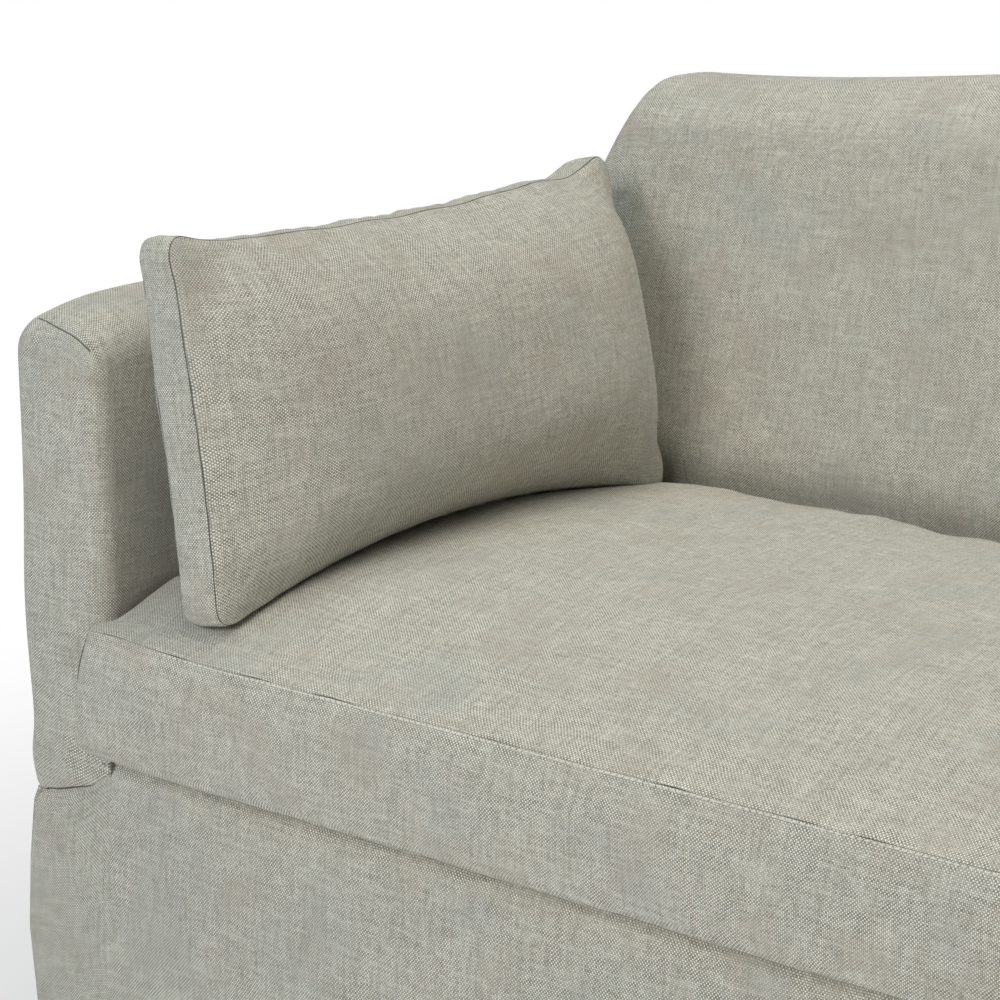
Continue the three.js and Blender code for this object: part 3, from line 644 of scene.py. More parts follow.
@dataclass(frozen=True)
class Linen:
    """Heathered linen in a plain weave: pale warp, darker weft, slubs, warm and cool patches, and painted shade along
    every seam.
    """

    name: str = "linen"
    pale: tuple = srgb(250, 248, 238)
    middle: tuple = srgb(198, 195, 182)
    dark: tuple = srgb(96, 92, 79)
    warm: tuple = srgb(186, 172, 158)
    cool: tuple = srgb(176, 182, 180)
    # The colour of the painted shade in the sunken line of each seam.
    painted_seam_shade: tuple = srgb(84, 80, 70)
    pitch: float = 0.00155
    relief: float = 0.0004
    seam_width: float = 0.0011

    def build(self) -> bpy.types.Material:
        """Makes the material.

        Returns:
            The material.
        """
        net = Net(self.name)
        u, v = net.weave_place()
        place = net.vector(u, v)
        sway = (net.noise(place, 12, 2) - 0.5) * 0.006
        across, along = (u + sway) / self.pitch, (v - sway) / self.pitch
        warp, weft = across.whole(), along.whole()
        weft_over = ((warp + weft) * 0.5).part() * 2.0
        dome = ((across.part() * math.pi).wave() * (along.part() * math.pi).wave()).power(0.5)
        warp_yarn = net.noise(net.vector(warp * 0.37, v * 26), 1.0, 3, 0.6)
        weft_yarn = net.noise(net.vector(u * 26, weft * 0.37, 7.0), 1.0, 3, 0.6)
        warp_thread = net.noise(net.vector(warp * 3.7, v * 60, 11.0), 1.0, 2)
        weft_thread = net.noise(net.vector(u * 60, weft * 3.7, 15.0), 1.0, 2)
        yarn_shade = warp_yarn + weft_over * (weft_yarn - warp_yarn)
        thread_shade = warp_thread + weft_thread - 1.0
        knot = net.dice(net.vector(warp, weft, 3.0)) - 0.5
        weave = (0.5 - weft_over) * 0.62 + (dome - 0.6) * 0.92 + knot * 0.3
        patch = net.noise(place, 15, 3, 0.55) - 0.5
        quiet = net.noise(net.along(place, (1, 1, 1), (0, 0, 0.9)), 30, 2).step(0.36, 0.62) * 0.4 + 0.6
        light = (0.5 + weave * quiet + (yarn_shade - 0.5) * 1.0 + thread_shade * 0.18 + patch * 0.15).clamped()
        ramp = net.node(
            "ShaderNodeValToRGB",
            {"stops": [(0.0, self.dark), (0.5, self.middle), (1.0, self.pale)]},
            s0=light,
        )
        yarn = Wire(net, ramp.outputs[0])
        warm_patch = net.noise(net.along(place, (1, 1, 1), (0, 0, 0.6)), 13, 3, 0.6).step(0.5, 0.68)
        cool_patch = net.noise(net.along(place, (1, 1, 1), (0.3, 0, 1.9)), 10, 3, 0.6).step(0.5, 0.7)
        yarn = net.mix(warm_patch * 0.3, yarn, self.warm)
        yarn = net.mix(cool_patch * 0.25, yarn, self.cool)
        # Painted shade: the base colour darkens along each seam, where its sunken line would lie in shadow. The same
        # mask also sinks the relief.
        distance = net.seam_distance()
        seam_groove_shade = 1.0 - distance.step(self.seam_width * 0.35, self.seam_width)
        yarn = net.mix(seam_groove_shade * 0.85, yarn, self.painted_seam_shade)
        relief = dome * 0.7 + (yarn_shade - 0.5) * 0.8 - seam_groove_shade * 2.0
        net.shader(yarn, relief, self.relief, Roughness=0.92, Sheen_Weight=0.2, Sheen_Roughness=0.5)
        return net.material


@dataclass(frozen=True)
class Timber:
    """Sawn or stained wood with its grain along the longest side."""

    name: str
    light: tuple
    dark: tuple
    gloss: float
    grain: tuple = (3.0, 60.0, 60.0)

    def build(self) -> bpy.types.Material:
        """Makes the material.

        Returns:
            The material.
        """
        net = Net(self.name)
        place = net.object_place()
        streak = net.noise(net.along(place, self.grain), 1.0, 4, 0.6)
        ring = net.noise(net.along(place, tuple(s / 6 for s in self.grain)), 2.0, 2)
        share = (streak * 0.7 + (ring * 26).wave() * 0.12 + 0.12).clamped()
        colour = net.mix(share, self.light, self.dark)
        net.shader(colour, streak, 0.0004, Roughness=1 - self.gloss)
        return net.material


@dataclass(frozen=True)
class Burlap:
    """Open jute cloth in a plain weave."""

    name: str = "burlap"
    light: tuple = srgb(186, 160, 112)
    dark: tuple = srgb(120, 96, 60)
    pitch: float = 0.0034

    def build(self) -> bpy.types.Material:
        """Makes the material.

        Returns:
            The material.
        """
        net = Net(self.name)
        parts = net.node("ShaderNodeSeparateXYZ", Vector=net.object_place())
        across = (Wire(net, parts.outputs[0]) * (math.pi / self.pitch)).wave().size()
        up = (Wire(net, parts.outputs[2]) * (math.pi / self.pitch)).wave().size()
        height = across * up
        fibre = net.noise(net.object_place(), 300, 3)
        colour = net.mix((height * 0.7 + fibre * 0.4).clamped(), self.dark, self.light)
        net.shader(colour, height, 0.0006, Roughness=0.95)
        return net.material


@dataclass(frozen=True)
class SpringSteel:
    """Oil-tempered spring wire with a thin brown bloom."""

    name: str = "spring_steel"
    bright: tuple = srgb(132, 134, 136)
    bloom: tuple = srgb(84, 74, 64)

    def build(self) -> bpy.types.Material:
        """Makes the material.

        Returns:
            The material.
        """
        net = Net(self.name)
        spots = net.noise(net.object_place(), 60, 3).step(0.5, 0.75)
        colour = net.mix(spots, self.bright, self.bloom)
        net.shader(colour, spots, 0.0001, Roughness=spots * 0.3 + 0.3, Metallic=0.9)
        return net.material


@dataclass(frozen=True)
class Thread:
    """Twisted sewing thread, or the woven tape of a zip."""

    name: str
    light: tuple
    dark: tuple
    pitch: float = 0.0008

    def build(self) -> bpy.types.Material:
        """Makes the material.

        Returns:
            The material.
        """
        net = Net(self.name)
        parts = net.node("ShaderNodeSeparateXYZ", Vector=net.object_place())
        along = Wire(net, parts.outputs[0]) + Wire(net, parts.outputs[2]) + Wire(net, parts.outputs[1])
        twist = (along * (2 * math.pi / self.pitch)).wave() * 0.5 + 0.5
        fibre = net.noise(net.object_place(), 700, 2)
        colour = net.mix((twist * 0.6 + fibre * 0.4).clamped(), self.dark, self.light)
        net.shader(colour, twist, 0.00015, Roughness=0.8)
        return net.material


class Finish(Enum):
    """The finishes of the sofa."""

    LINEN = Linen()
    FRAME_TIMBER = Timber("frame_timber", srgb(206, 176, 128), srgb(160, 122, 78), 0.3)
    FOOT_TIMBER = Timber("foot_timber", srgb(92, 62, 42), srgb(44, 29, 20), 0.55, (60.0, 60.0, 4.0))
    BURLAP = Burlap()
    SPRING_STEEL = SpringSteel()
    THREAD = Thread("sewing_thread", srgb(252, 250, 242), srgb(226, 223, 212))
    ZIP_TAPE = Thread("zip_tape", srgb(176, 172, 160), srgb(138, 134, 122))

    def dress(self, piece: bpy.types.Object) -> None:
        """Gives a piece this finish as its only material.

        Args:
            piece: The piece.
        """
        material = bpy.data.materials.get(f"{self.value.name}_finish") or self.value.build()
        piece.data.materials.clear()
        piece.data.materials.append(material)


def finish_piece(piece: bpy.types.Object, body: str, finish: Finish, stands_for: tuple = ()) -> None:
    """Dresses a piece, puts it on its body and hides the CAD nodes that it stands for.

    Args:
        piece: The piece.
        body: The CAD body that it moves with.
        finish: Its finish.
        stands_for: The CAD nodes that it replaces.
    """
    finish.dress(piece)
    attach(piece, body)
    if stands_for:
        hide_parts(*stands_for)
    LOG.info("%s: %d faces, on %s", piece.name, len(piece.data.polygons), body)


# The corner of a boxed panel, from a square grid


def round_corners(x: Array, y: Array, half_x: float, half_y: float, corner: float) -> tuple[Array, Array]:
    """Pulls the corners of a rectangle onto arcs, and moves what lies inside them with them.

    Args:
        x: Places across the rectangle.
        y: Places along the rectangle.
        half_x: Half its width.
        half_y: Half its length.
        corner: The radius of the arcs.

    Returns:
        The new places.
    """
    a = np.clip((np.abs(x) - half_x + corner) / corner, 0, 1)
    b = np.clip((np.abs(y) - half_y + corner) / corner, 0, 1)
    inner_x = np.minimum(np.abs(x), half_x - corner)
    inner_y = np.minimum(np.abs(y), half_y - corner)
    new_x = inner_x + corner * a * np.sqrt(1 - b * b / 2)
    new_y = inner_y + corner * b * np.sqrt(1 - a * a / 2)
    return np.sign(x) * new_x, np.sign(y) * new_y


def border(columns: Array, rows: Array) -> tuple[Array, Array, Array]:
    """The border of a grid of columns and rows, once round from its first corner.

    Args:
        columns: Places of the columns.
        rows: Places of the rows.

    Returns:
        The places across and along, and the distance run to each.
    """
    low_x, high_x = np.full(len(rows), columns[0]), np.full(len(rows), columns[-1])
    low_y, high_y = np.full(len(columns), rows[0]), np.full(len(columns), rows[-1])
    x = np.concatenate([columns[:-1], high_x[:-1], columns[:0:-1], low_x])
    y = np.concatenate([low_y[:-1], rows[:-1], high_y[:-1], rows[::-1]])
    run = np.concatenate([[0.0], np.cumsum(np.hypot(np.diff(x), np.diff(y)))])
    return x, y, run


# Sewing thread


@dataclass
class Stitching:
    """A row of stitches laid along a seam."""

    name: str
    length: float = 0.0036
    pitch: float = 0.0046
    radius: float = 0.0004

    def along(self, path: Array) -> bpy.types.Object:
        """Lays the row along a path.

        Args:
            path: The points of the seam, in order.

        Returns:
            The stitches, as one piece.
        """
        clear_selection()
        bpy.ops.mesh.primitive_uv_sphere_add(segments=6, ring_count=4, radius=self.radius)
        row = bpy.context.object
        row.name = self.name
        bpy.ops.object.mode_set(mode="EDIT")
        bpy.ops.mesh.select_all(action="SELECT")
        bpy.ops.transform.rotate(value=math.pi / 2, orient_axis="Y", center_override=(0, 0, 0))
        bpy.ops.transform.resize(value=(self.length / (2 * self.radius), 1, 1))
        bpy.ops.object.mode_set(mode="OBJECT")
        bpy.ops.object.shade_smooth()
        guide_data = bpy.data.curves.new("guide", "CURVE")
        guide_data.dimensions = "3D"
        spline = guide_data.splines.new("POLY")
        spline.points.add(len(path) - 1)
        spline.points.foreach_set("co", np.concatenate([path, np.ones((len(path), 1))], axis=1).ravel())
        guide = bpy.data.objects.new("guide", guide_data)
        bpy.context.scene.collection.objects.link(guide)
        total = float(np.linalg.norm(np.diff(path, axis=0), axis=1).sum())
        repeat = row.modifiers.new("repeat", "ARRAY")
        repeat.use_relative_offset = False
        repeat.use_constant_offset = True
        repeat.constant_offset_displace = (self.pitch, 0, 0)
        repeat.count = int(total / self.pitch)
        follow = row.modifiers.new("follow", "CURVE")
        follow.object = guide
        choose(row)
        for modifier in ("repeat", "follow"):
            bpy.ops.object.modifier_apply(modifier=modifier)
        bpy.data.objects.remove(guide)
        bpy.data.curves.remove(guide_data)
        return row


# Pillows


@dataclass
class KidneyPillow:
    """A boxed kidney pillow: two crowned faces sewn to a band, leaning on an arm."""

    length: float = 0.624
    height: float = 0.347
    band: float = 0.0455
    corner: float = 0.024
    draw_end: float = 0.0076
    draw_side: float = 0.0194
    seat_hollow: float = 0.024
    ear: float = 0.0055
    ear_width: float = 0.030
    ear_dip: float = 0.0045
    ear_draw: float = 0.0025
    band_taper: float = 0.0065
    crown: float = 0.088
    crown_skew: float = 0.19
    fullness_along: float = 4.5
    fullness_up: float = 3.2
    band_bulge: float = 0.003
    seam_sink: float = 0.0016
    seam_run: float = 0.0020
    from_arm: float = 0.122
    from_back: float = 0.315
    middle_height: float = 0.664
    lean: float = math.radians(11.2)
    twist: float = math.radians(2.6)
    turn: float = math.radians(2.85)
    arm_clearance: float = 0.002
    step: float = 0.0075
    fine: tuple[float, ...] = (0.0012, 0.003, 0.007, 0.012, 0.018)
    level_step: float = 0.006
    level_fine: tuple[float, ...] = (0.0012, 0.003, 0.006)

    @property
    def half(self) -> tuple[float, float]:
        """Half the length and half the height of a flat face."""
        return self.length / 2, self.height / 2

    def to_edge(self, y: Array, z: Array) -> Array:
        """How far a place of the flat face is from its seam.

        Args:
            y: Places along the face.
            z: Places up the face.

        Returns:
            The distance.
        """
        half_y, half_z = self.half
        return np.minimum(half_y - np.abs(y), half_z - np.abs(z))

    def outline(self, y: Array, z: Array) -> tuple[Array, Array]:
        """The pillow's outline: rounded corners kept out, sides drawn in, the lower side over the seat.

        Args:
            y: Places along the flat panel.
            z: Places up the flat panel.

        Returns:
            The places on the stuffed pillow.
        """
        half_y, half_z = self.half
        y, z = round_corners(y, z, half_y, half_z, self.corner)
        a, b = y / half_y, z / half_z
        new_y = y * (1 - self.draw_end / half_y * (1 - b**2))
        new_z = z * (1 - self.draw_side / half_z * (1 - a**2))
        hollow = self.seat_hollow * np.maximum(0, -b) * np.maximum(0, 1 - a**2)
        wave = 0.0009 * ripple(y, 0 * y, 11, 0.11, 5) * np.maximum(0, b) ** 3
        to_corner = np.hypot(half_y - np.abs(y), half_z - z)
        ear = self.ear * bump(to_corner, self.ear_width) - self.ear_dip * bump(to_corner - 0.075, 0.035)
        draw = self.ear_draw * bump(to_corner - 0.045, 0.030)
        return new_y - draw * np.sign(y) * np.abs(a) ** 8, new_z + hollow + wave + ear * np.maximum(0, b) ** 8

    def face(self, sign: int) -> bpy.types.Object:
        """One crowned face.

        Args:
            sign: 1 for the face towards the seat's middle, -1 for the one at the arm.

        Returns:
            The face.
        """
        half_y, half_z = self.half
        panel = Panel(
            f"pillow_face_{sign}",
            spaced(-half_y, half_y, self.step, self.fine),
            spaced(-half_z, half_z, self.step, self.fine),
        )

        def surface(y: Array, z: Array) -> Array:
            """The points of the face."""
            a, b = np.abs(y / half_y), np.abs(z / half_z)
            to_edge = self.to_edge(y, z)
            puff = self.crown * (1 - a**self.fullness_along) * (1 - b**self.fullness_up)
            puff = puff * (1 + self.crown_skew * y / half_y)
            pucker = 0.0009 * ripple(y, z, 5 + sign, 0.034, 9) * bump(to_edge - 0.012, 0.016)
            lie = 0.0020 * ripple(y, z, 8 + sign, 0.21) * smooth(to_edge, 0.01, 0.09)
            corner_pull = 0.004 * bump(np.hypot(half_y - np.abs(y), half_z - np.abs(z)) - 0.05, 0.022)
            stand = self.band / 2 + puff + pucker + lie - corner_pull * smooth(to_edge, 0, 0.02)
            stand = stand - self.seam_sink * bump(to_edge, self.seam_run)
            flat_y, flat_z = self.outline(y, z)
            return stack(sign * stand, flat_y, flat_z)

        return panel.lay(surface, lambda y, z, *_: (y, z + sign), self.to_edge)

    def boxing(self) -> bpy.types.Object:
        """The band between the two faces.

        Returns:
            The band.
        """
        half_y, half_z = self.half
        y, z, run = border(
            spaced(-half_y, half_y, self.step, self.fine), spaced(-half_z, half_z, self.step, self.fine)
        )
        index = np.arange(len(run), dtype=float)
        rows = spaced(-self.band / 2, self.band / 2, self.level_step, self.level_fine)

        def surface(place: Array, out: Array) -> Array:
            """The points of the band."""
            i = place.astype(int)
            flat_y, flat_z = self.outline(y[i], z[i])
            length = np.hypot(flat_y, flat_z)
            to_seam = self.band / 2 - np.abs(out)
            stand = self.band_bulge * np.cos(np.pi * out / self.band)
            stand = stand + 0.0008 * ripple(run[i], out, 3, 0.028, 9) * smooth(to_seam, 0, 0.012)
            stand = stand - self.seam_sink * bump(to_seam, self.seam_run) * smooth(to_seam, 0, self.seam_run)
            sink = self.seam_sink * (to_seam < 0.0001) * np.sign(out)
            return stack(out - sink, flat_y * (1 + stand / length), flat_z * (1 + stand / length))

        def weave(place: Array, out: Array, middle: Array, _: Array) -> tuple[Array, Array]:
            """The weave runs along the band."""
            return run[place.astype(int)], out + 3

        return Panel("pillow_boxing", index, rows).lay(
            surface, weave, lambda _, out: self.band / 2 - np.abs(out)
        )

    def build(self, body: Body) -> bpy.types.Object:
        """The left pillow in its place.

        Args:
            body: The sofa that it leans in.

        Returns:
            The pillow's cover.
        """
        cover = sew("left_pillow", [self.face(1), self.face(-1), self.boxing()])
        x, y, z = points_of(cover).T
        half_y, half_z = self.half
        x = x + self.band_taper * smooth(z / half_z, 0.2, 1) * np.clip(0.5 - x / self.band, 0, 1)
        lean = self.lean + self.twist * y / half_y
        x, z = x * np.cos(lean) - z * np.sin(lean), x * np.sin(lean) + z * np.cos(lean)
        x = x + half_z * (np.sin(lean) - math.sin(self.lean))
        z = z - half_z * (np.cos(lean) - math.cos(self.lean))
        x, y = x * math.cos(self.turn) + y * math.sin(self.turn), y * math.cos(self.turn) - x * math.sin(self.turn)
        x = np.maximum(x + self.from_arm, self.arm_clearance) - body.arm_inside
        middle_y = body.front + body.seat_depth - self.from_back
        set_points(cover, stack(x, y + middle_y, z + self.middle_height))
        return cover

    def dress(self, body: Body) -> list[bpy.types.Object]:
        """Builds both pillows and puts each on its body.

        Args:
            body: The sofa.

        Returns:
            The pillows.
        """
        left = self.build(body)
        right = mirrored(left, "right_pillow")
        for hand, cover in (("left", left), ("right", right)):
            nodes = (f"{hand}_pillow_cover", f"{hand}_pillow_insert")
            finish_piece(cover, f"{hand}_pillow", Finish.LINEN, nodes)
        return [left, right]


# Seat cushion


@dataclass
class SeatCushion:
    """The bench cushion: a boxed band, a crowned top panel and a plain bottom panel."""

    body: Body
    pillows: list[bpy.types.Object]
    half_x: float = 0.0
    front: float = 0.0
    half_y: float = 0.325
    seam: float = 0.474
    corner_lift: float = 0.005
    full_height: float = 0.420
    ridge: float = 0.3600
    side_ridge: float = 0.3625
    bottom: float = 0.3413
    seam_inset: float = 0.013
    ridge_inset: float = 0.004
    bottom_inset: float = 0.040
    rear_gap: float = 0.002
    rear_share: float = 0.68
    rear_run: float = 0.022
    rear_wave: float = -0.0022
    crown: float = 0.058
    crown_run: float = 0.300
    side_share: float = 0.55
    fullness: float = 2.4
    corner: float = 0.012
    sharp_corner: float = 0.0015
    side_share_inset: float = 0.3
    side_lift: float = 0.027
    ridge_lift: float = 0.0025
    ear: float = 0.007
    ear_run: tuple[float, float] = (0.030, 0.045)
    step: float = 0.009
    fine: tuple[float, ...] = (0.0012, 0.003, 0.007, 0.013, 0.021)
    press_gap: float = 0.0009
    press_blur: float = 0.009
    # Added to the seam distance, so the painted seam shade and the sunken seam line are only partly dark and deep on
    # the cushion.
    seam_shade_offset: float = 0.0005

    def __post_init__(self) -> None:
        """Takes the cushion's faces from the frame."""
        low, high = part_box("seat_cushion_cover")
        self.half_x = high.x
        self.front = low.y
        self.columns = spaced(-self.half_x, self.half_x, self.step, self.fine) / self.half_x
        self.rows = spaced(-self.half_y, self.half_y, self.step, self.fine) / self.half_y

    def plan(self, share_x: Array, share_y: Array, z: Array, inset: Array) -> tuple[Array, Array]:
        """Places a point of the flat panel in the sofa at a height.

        Args:
            share_x: From -1 to 1 across.
            share_y: From -1 to 1 along.
            z: Its height.
            inset: How far the outline stands in there.

        Returns:
            The places across and along.
        """
        corner = self.sharp_corner + (self.corner - self.sharp_corner) * smooth(z, self.ridge, self.seam)
        x, y = round_corners(share_x * self.half_x, share_y * self.half_y, self.half_x, self.half_y, corner)
        x, y = x / self.half_x, y / self.half_y
        front = self.front + inset
        rear = self.body.inside_back(np.minimum(z, self.body.seat_line)) - self.rear_gap - inset * 0.2
        along = (rear + front) / 2 + y * (rear - front) / 2
        ear = self.ear * (1 - smooth(along - self.front, *self.ear_run))
        under = np.clip((self.side_ridge - z) / (self.side_ridge - self.bottom), 0, 1) * self.bottom_inset
        side = under + self.upper_inset(z) * self.side_share_inset
        return x * (self.half_x - side + ear), along

    def to_edge(self, share_x: Array, share_y: Array) -> Array:
        """How far a place of the flat panel is from its seam."""
        return np.minimum((1 - np.abs(share_x)) * self.half_x, (1 - np.abs(share_y)) * self.half_y)

    def seam_height(self, share_x: Array, share_y: Array) -> Array:
        """The height of the upper seam, a little higher at the front corners and squeezed up at the arms."""
        from_side = (1 - np.abs(share_x)) * self.half_x
        corner = self.corner_lift * bump(from_side - 0.03, 0.06) * (1 - smooth(share_y, -1, -0.8))
        return self.seam + corner + self.squeeze(share_x, share_y)

    def squeeze(self, share_x: Array, share_y: Array) -> Array:
        """How far the sides are pushed up between the filling and the arms."""
        from_side = (1 - np.abs(share_x)) * self.half_x
        from_front, from_rear = (1 + share_y) * self.half_y, (1 - share_y) * self.half_y
        along = smooth(from_front, 0.0, 0.13) * smooth(from_rear, 0.0, 0.06)
        return self.side_lift * along * (1 - smooth(from_side, 0, 0.16))

    def crowned(self, a: Array, b: Array) -> Array:
        """The points of the top panel before anything lies on it.

        Args:
            a: From -1 to 1 across.
            b: From -1 to 1 along.

        Returns:
            The points.
        """
        side, from_front, from_rear = (1 - np.abs(a)) * self.half_x, (1 + b) * self.half_y, (1 - b) * self.half_y
        rise_side = swell(side / (self.crown_run * self.side_share), self.fullness)
        rise_front = swell(from_front / self.crown_run, self.fullness)
        share = self.rear_share
        rise_rear = share * swell(from_rear / self.rear_run, 2.0) + (1 - share) * swell(from_rear / self.crown_run, 2.0)
        edge = self.to_edge(a, b)
        rise = rise_side * rise_front * rise_rear
        z = self.seam_height(a, b) + (self.crown - self.squeeze(a, b)) * rise
        x, y = self.plan(a, b, np.full_like(a, self.seam), np.full_like(a, self.seam_inset))
        against_back = self.body.inside_back(z) - self.body.inside_back(self.seam)
        y = y + 0.6 * against_back * (1 - smooth(from_rear, 0.01, 0.06)) * rise_side
        z = z + 0.0016 * ripple(x, y, 21, 0.34) * smooth(edge, 0.02, 0.15)
        z = z + 0.0008 * ripple(x, y, 22, 0.045, 9) * bump(edge - 0.018, 0.02)
        z = z + self.rear_wave * ripple(x, 0 * x, 24, 0.26) * bump(from_rear - 0.03, 0.05) * smooth(edge, 0, 0.01)
        return stack(x, y, z - 0.0012 * bump(edge, 0.0022))

    def dents(self) -> Array:
        """How deep the pillows press into the top, for each row and column.

        Returns:
            The depths.
        """
        a, b = np.meshgrid(self.columns, self.rows)
        free = self.crowned(a, b)
        limit = np.full(a.shape, np.inf)
        for pillow in self.pillows:
            tree = BVHTree.FromObject(pillow, bpy.context.evaluated_depsgraph_get())
            low, high = points_of(pillow).min(axis=0), points_of(pillow).max(axis=0)
            inside = (free[..., 0] > low[0]) & (free[..., 0] < high[0]) & (free[..., 1] > low[1]) & (free[..., 1] < high[1])
            for row, column in zip(*np.nonzero(inside)):
                x, y, _ = free[row, column]
                hit = tree.ray_cast(Vector((x, y, self.bottom)), Vector((0, 0, 1)))[0]
                if hit is not None:
                    limit[row, column] = hit.z - self.press_gap
        depth = np.maximum(free[..., 2] - limit, 0)
        spread_x = bump(self.columns[:, None] * self.half_x - self.columns * self.half_x, self.press_blur)
        spread_y = bump(self.rows[:, None] * self.half_y - self.rows * self.half_y, self.press_blur)
        blurred = (spread_y / spread_y.sum(1, keepdims=True)) @ depth @ (spread_x / spread_x.sum(1, keepdims=True)).T
        return np.maximum(depth, blurred)

    def top_panel(self) -> bpy.types.Object:
        """The crowned top, with its seam sunk a little and the pillows' dents.

        Returns:
            The panel.
        """
        dents = self.dents()

        def surface(a: Array, b: Array) -> Array:
            """The points of the top."""
            points = self.crowned(a, b)
            depth = dents[np.searchsorted(self.rows, b - 1e-9), np.searchsorted(self.columns, a - 1e-9)]
            points[..., 2] -= depth * smooth(self.to_edge(a, b), 0.0, 0.01)
            return points

        return Panel("cushion_top", self.columns, self.rows).lay(
            surface,
            lambda a, b, *_: (a * self.half_x, b * self.half_y),
            lambda a, b: self.to_edge(a, b) + self.seam_shade_offset,
        )

    def inset(self, z: Array, from_side: Array) -> Array:
        """How far the band stands in at a height: full over its ridge, and rolled under below it.

        Args:
            z: The height.
            from_side: The distance from the cushion's nearer end.

        Returns:
            The inset.
        """
        ridge = self.ridge + self.ridge_lift * (1 - smooth(from_side, 0, 0.09))
        lower = self.ridge_inset * np.clip((self.full_height - z) / (self.full_height - ridge), 0, 1) ** 3
        under = np.clip((ridge - z) / (ridge - self.bottom), 0, 1)
        return self.upper_inset(z) + lower + (self.bottom_inset - self.ridge_inset) * under

    def upper_inset(self, z: Array) -> Array:
        """How far the band leans in towards its upper seam."""
        return self.seam_inset * np.clip((z - self.full_height) / (self.seam - self.full_height), 0, 1.1) ** 2.2

    def boxing(self) -> bpy.types.Object:
        """The band round the cushion, bellied between its seams.

        Returns:
            The band.
        """
        a, b, _ = border(self.columns, self.rows)
        run = np.concatenate([[0.0], np.cumsum(np.hypot(np.diff(a) * self.half_x, np.diff(b) * self.half_y))])
        height = self.seam - self.bottom
        levels = spaced(0, height, 0.006, (0.0012, 0.003, 0.007))

        def surface(place: Array, up: Array) -> Array:
            """The points of the band."""
            i = place.astype(int)
            z = self.bottom + up / height * (self.seam_height(a[i], b[i]) - self.bottom)
            wave = 0.0012 * ripple(run[i], z, 31, 0.22) + 0.0005 * ripple(run[i], z, 32, 0.04, 9)
            from_side = (1 - np.abs(a[i])) * self.half_x
            inset = self.inset(self.bottom + up, from_side) - wave * np.sin(np.pi * up / height)
            x, y = self.plan(a[i], b[i], z, inset)
            drop = 0.0012 * (up > height - 0.0001)
            return stack(x, y, z - drop)

        return Panel("cushion_boxing", np.arange(len(a), dtype=float), levels).lay(
            surface,
            lambda i, up, *_: (run[i.astype(int)], up + 1.3),
            lambda _, up: height - up + self.seam_shade_offset,
        )

    def bottom_panel(self) -> bpy.types.Object:
        """The flat panel that lies on the deck.

        Returns:
            The panel.
        """

        def surface(a: Array, b: Array) -> Array:
            """The points of the bottom."""
            z = np.full_like(a, self.bottom)
            x, y = self.plan(a, b, z, np.full_like(a, self.bottom_inset))
            return stack(x, y, z)

        return Panel("cushion_bottom", self.columns, self.rows).lay(
            surface, lambda a, b, *_: (a * self.half_x, b * self.half_y + 3)
        )

    def topstitch(self) -> bpy.types.Object:
        """The pale stitches just under the front seam."""
        a = np.linspace(-0.985, 0.985, 240)
        b = np.full_like(a, -1.0)
        z = self.seam_height(a, b) - 0.0026
        x, y = self.plan(a, b, z, self.inset(z, (1 - np.abs(a)) * self.half_x) - 0.0002)
        return Stitching("seat_cushion_topstitch", 0.0052, 0.0060, 0.0009).along(stack(x, y, z))

    def dress(self) -> None:
        """Builds the cushion and puts it on its body."""
        cover = sew("seat_cushion", [self.top_panel(), self.boxing(), self.bottom_panel()])
        nodes = ("seat_cushion_cover", "seat_cushion_core")
        finish_piece(cover, "seat_cushion", Finish.LINEN, nodes)
        finish_piece(self.topstitch(), "seat_cushion", Finish.THREAD)


# Arms


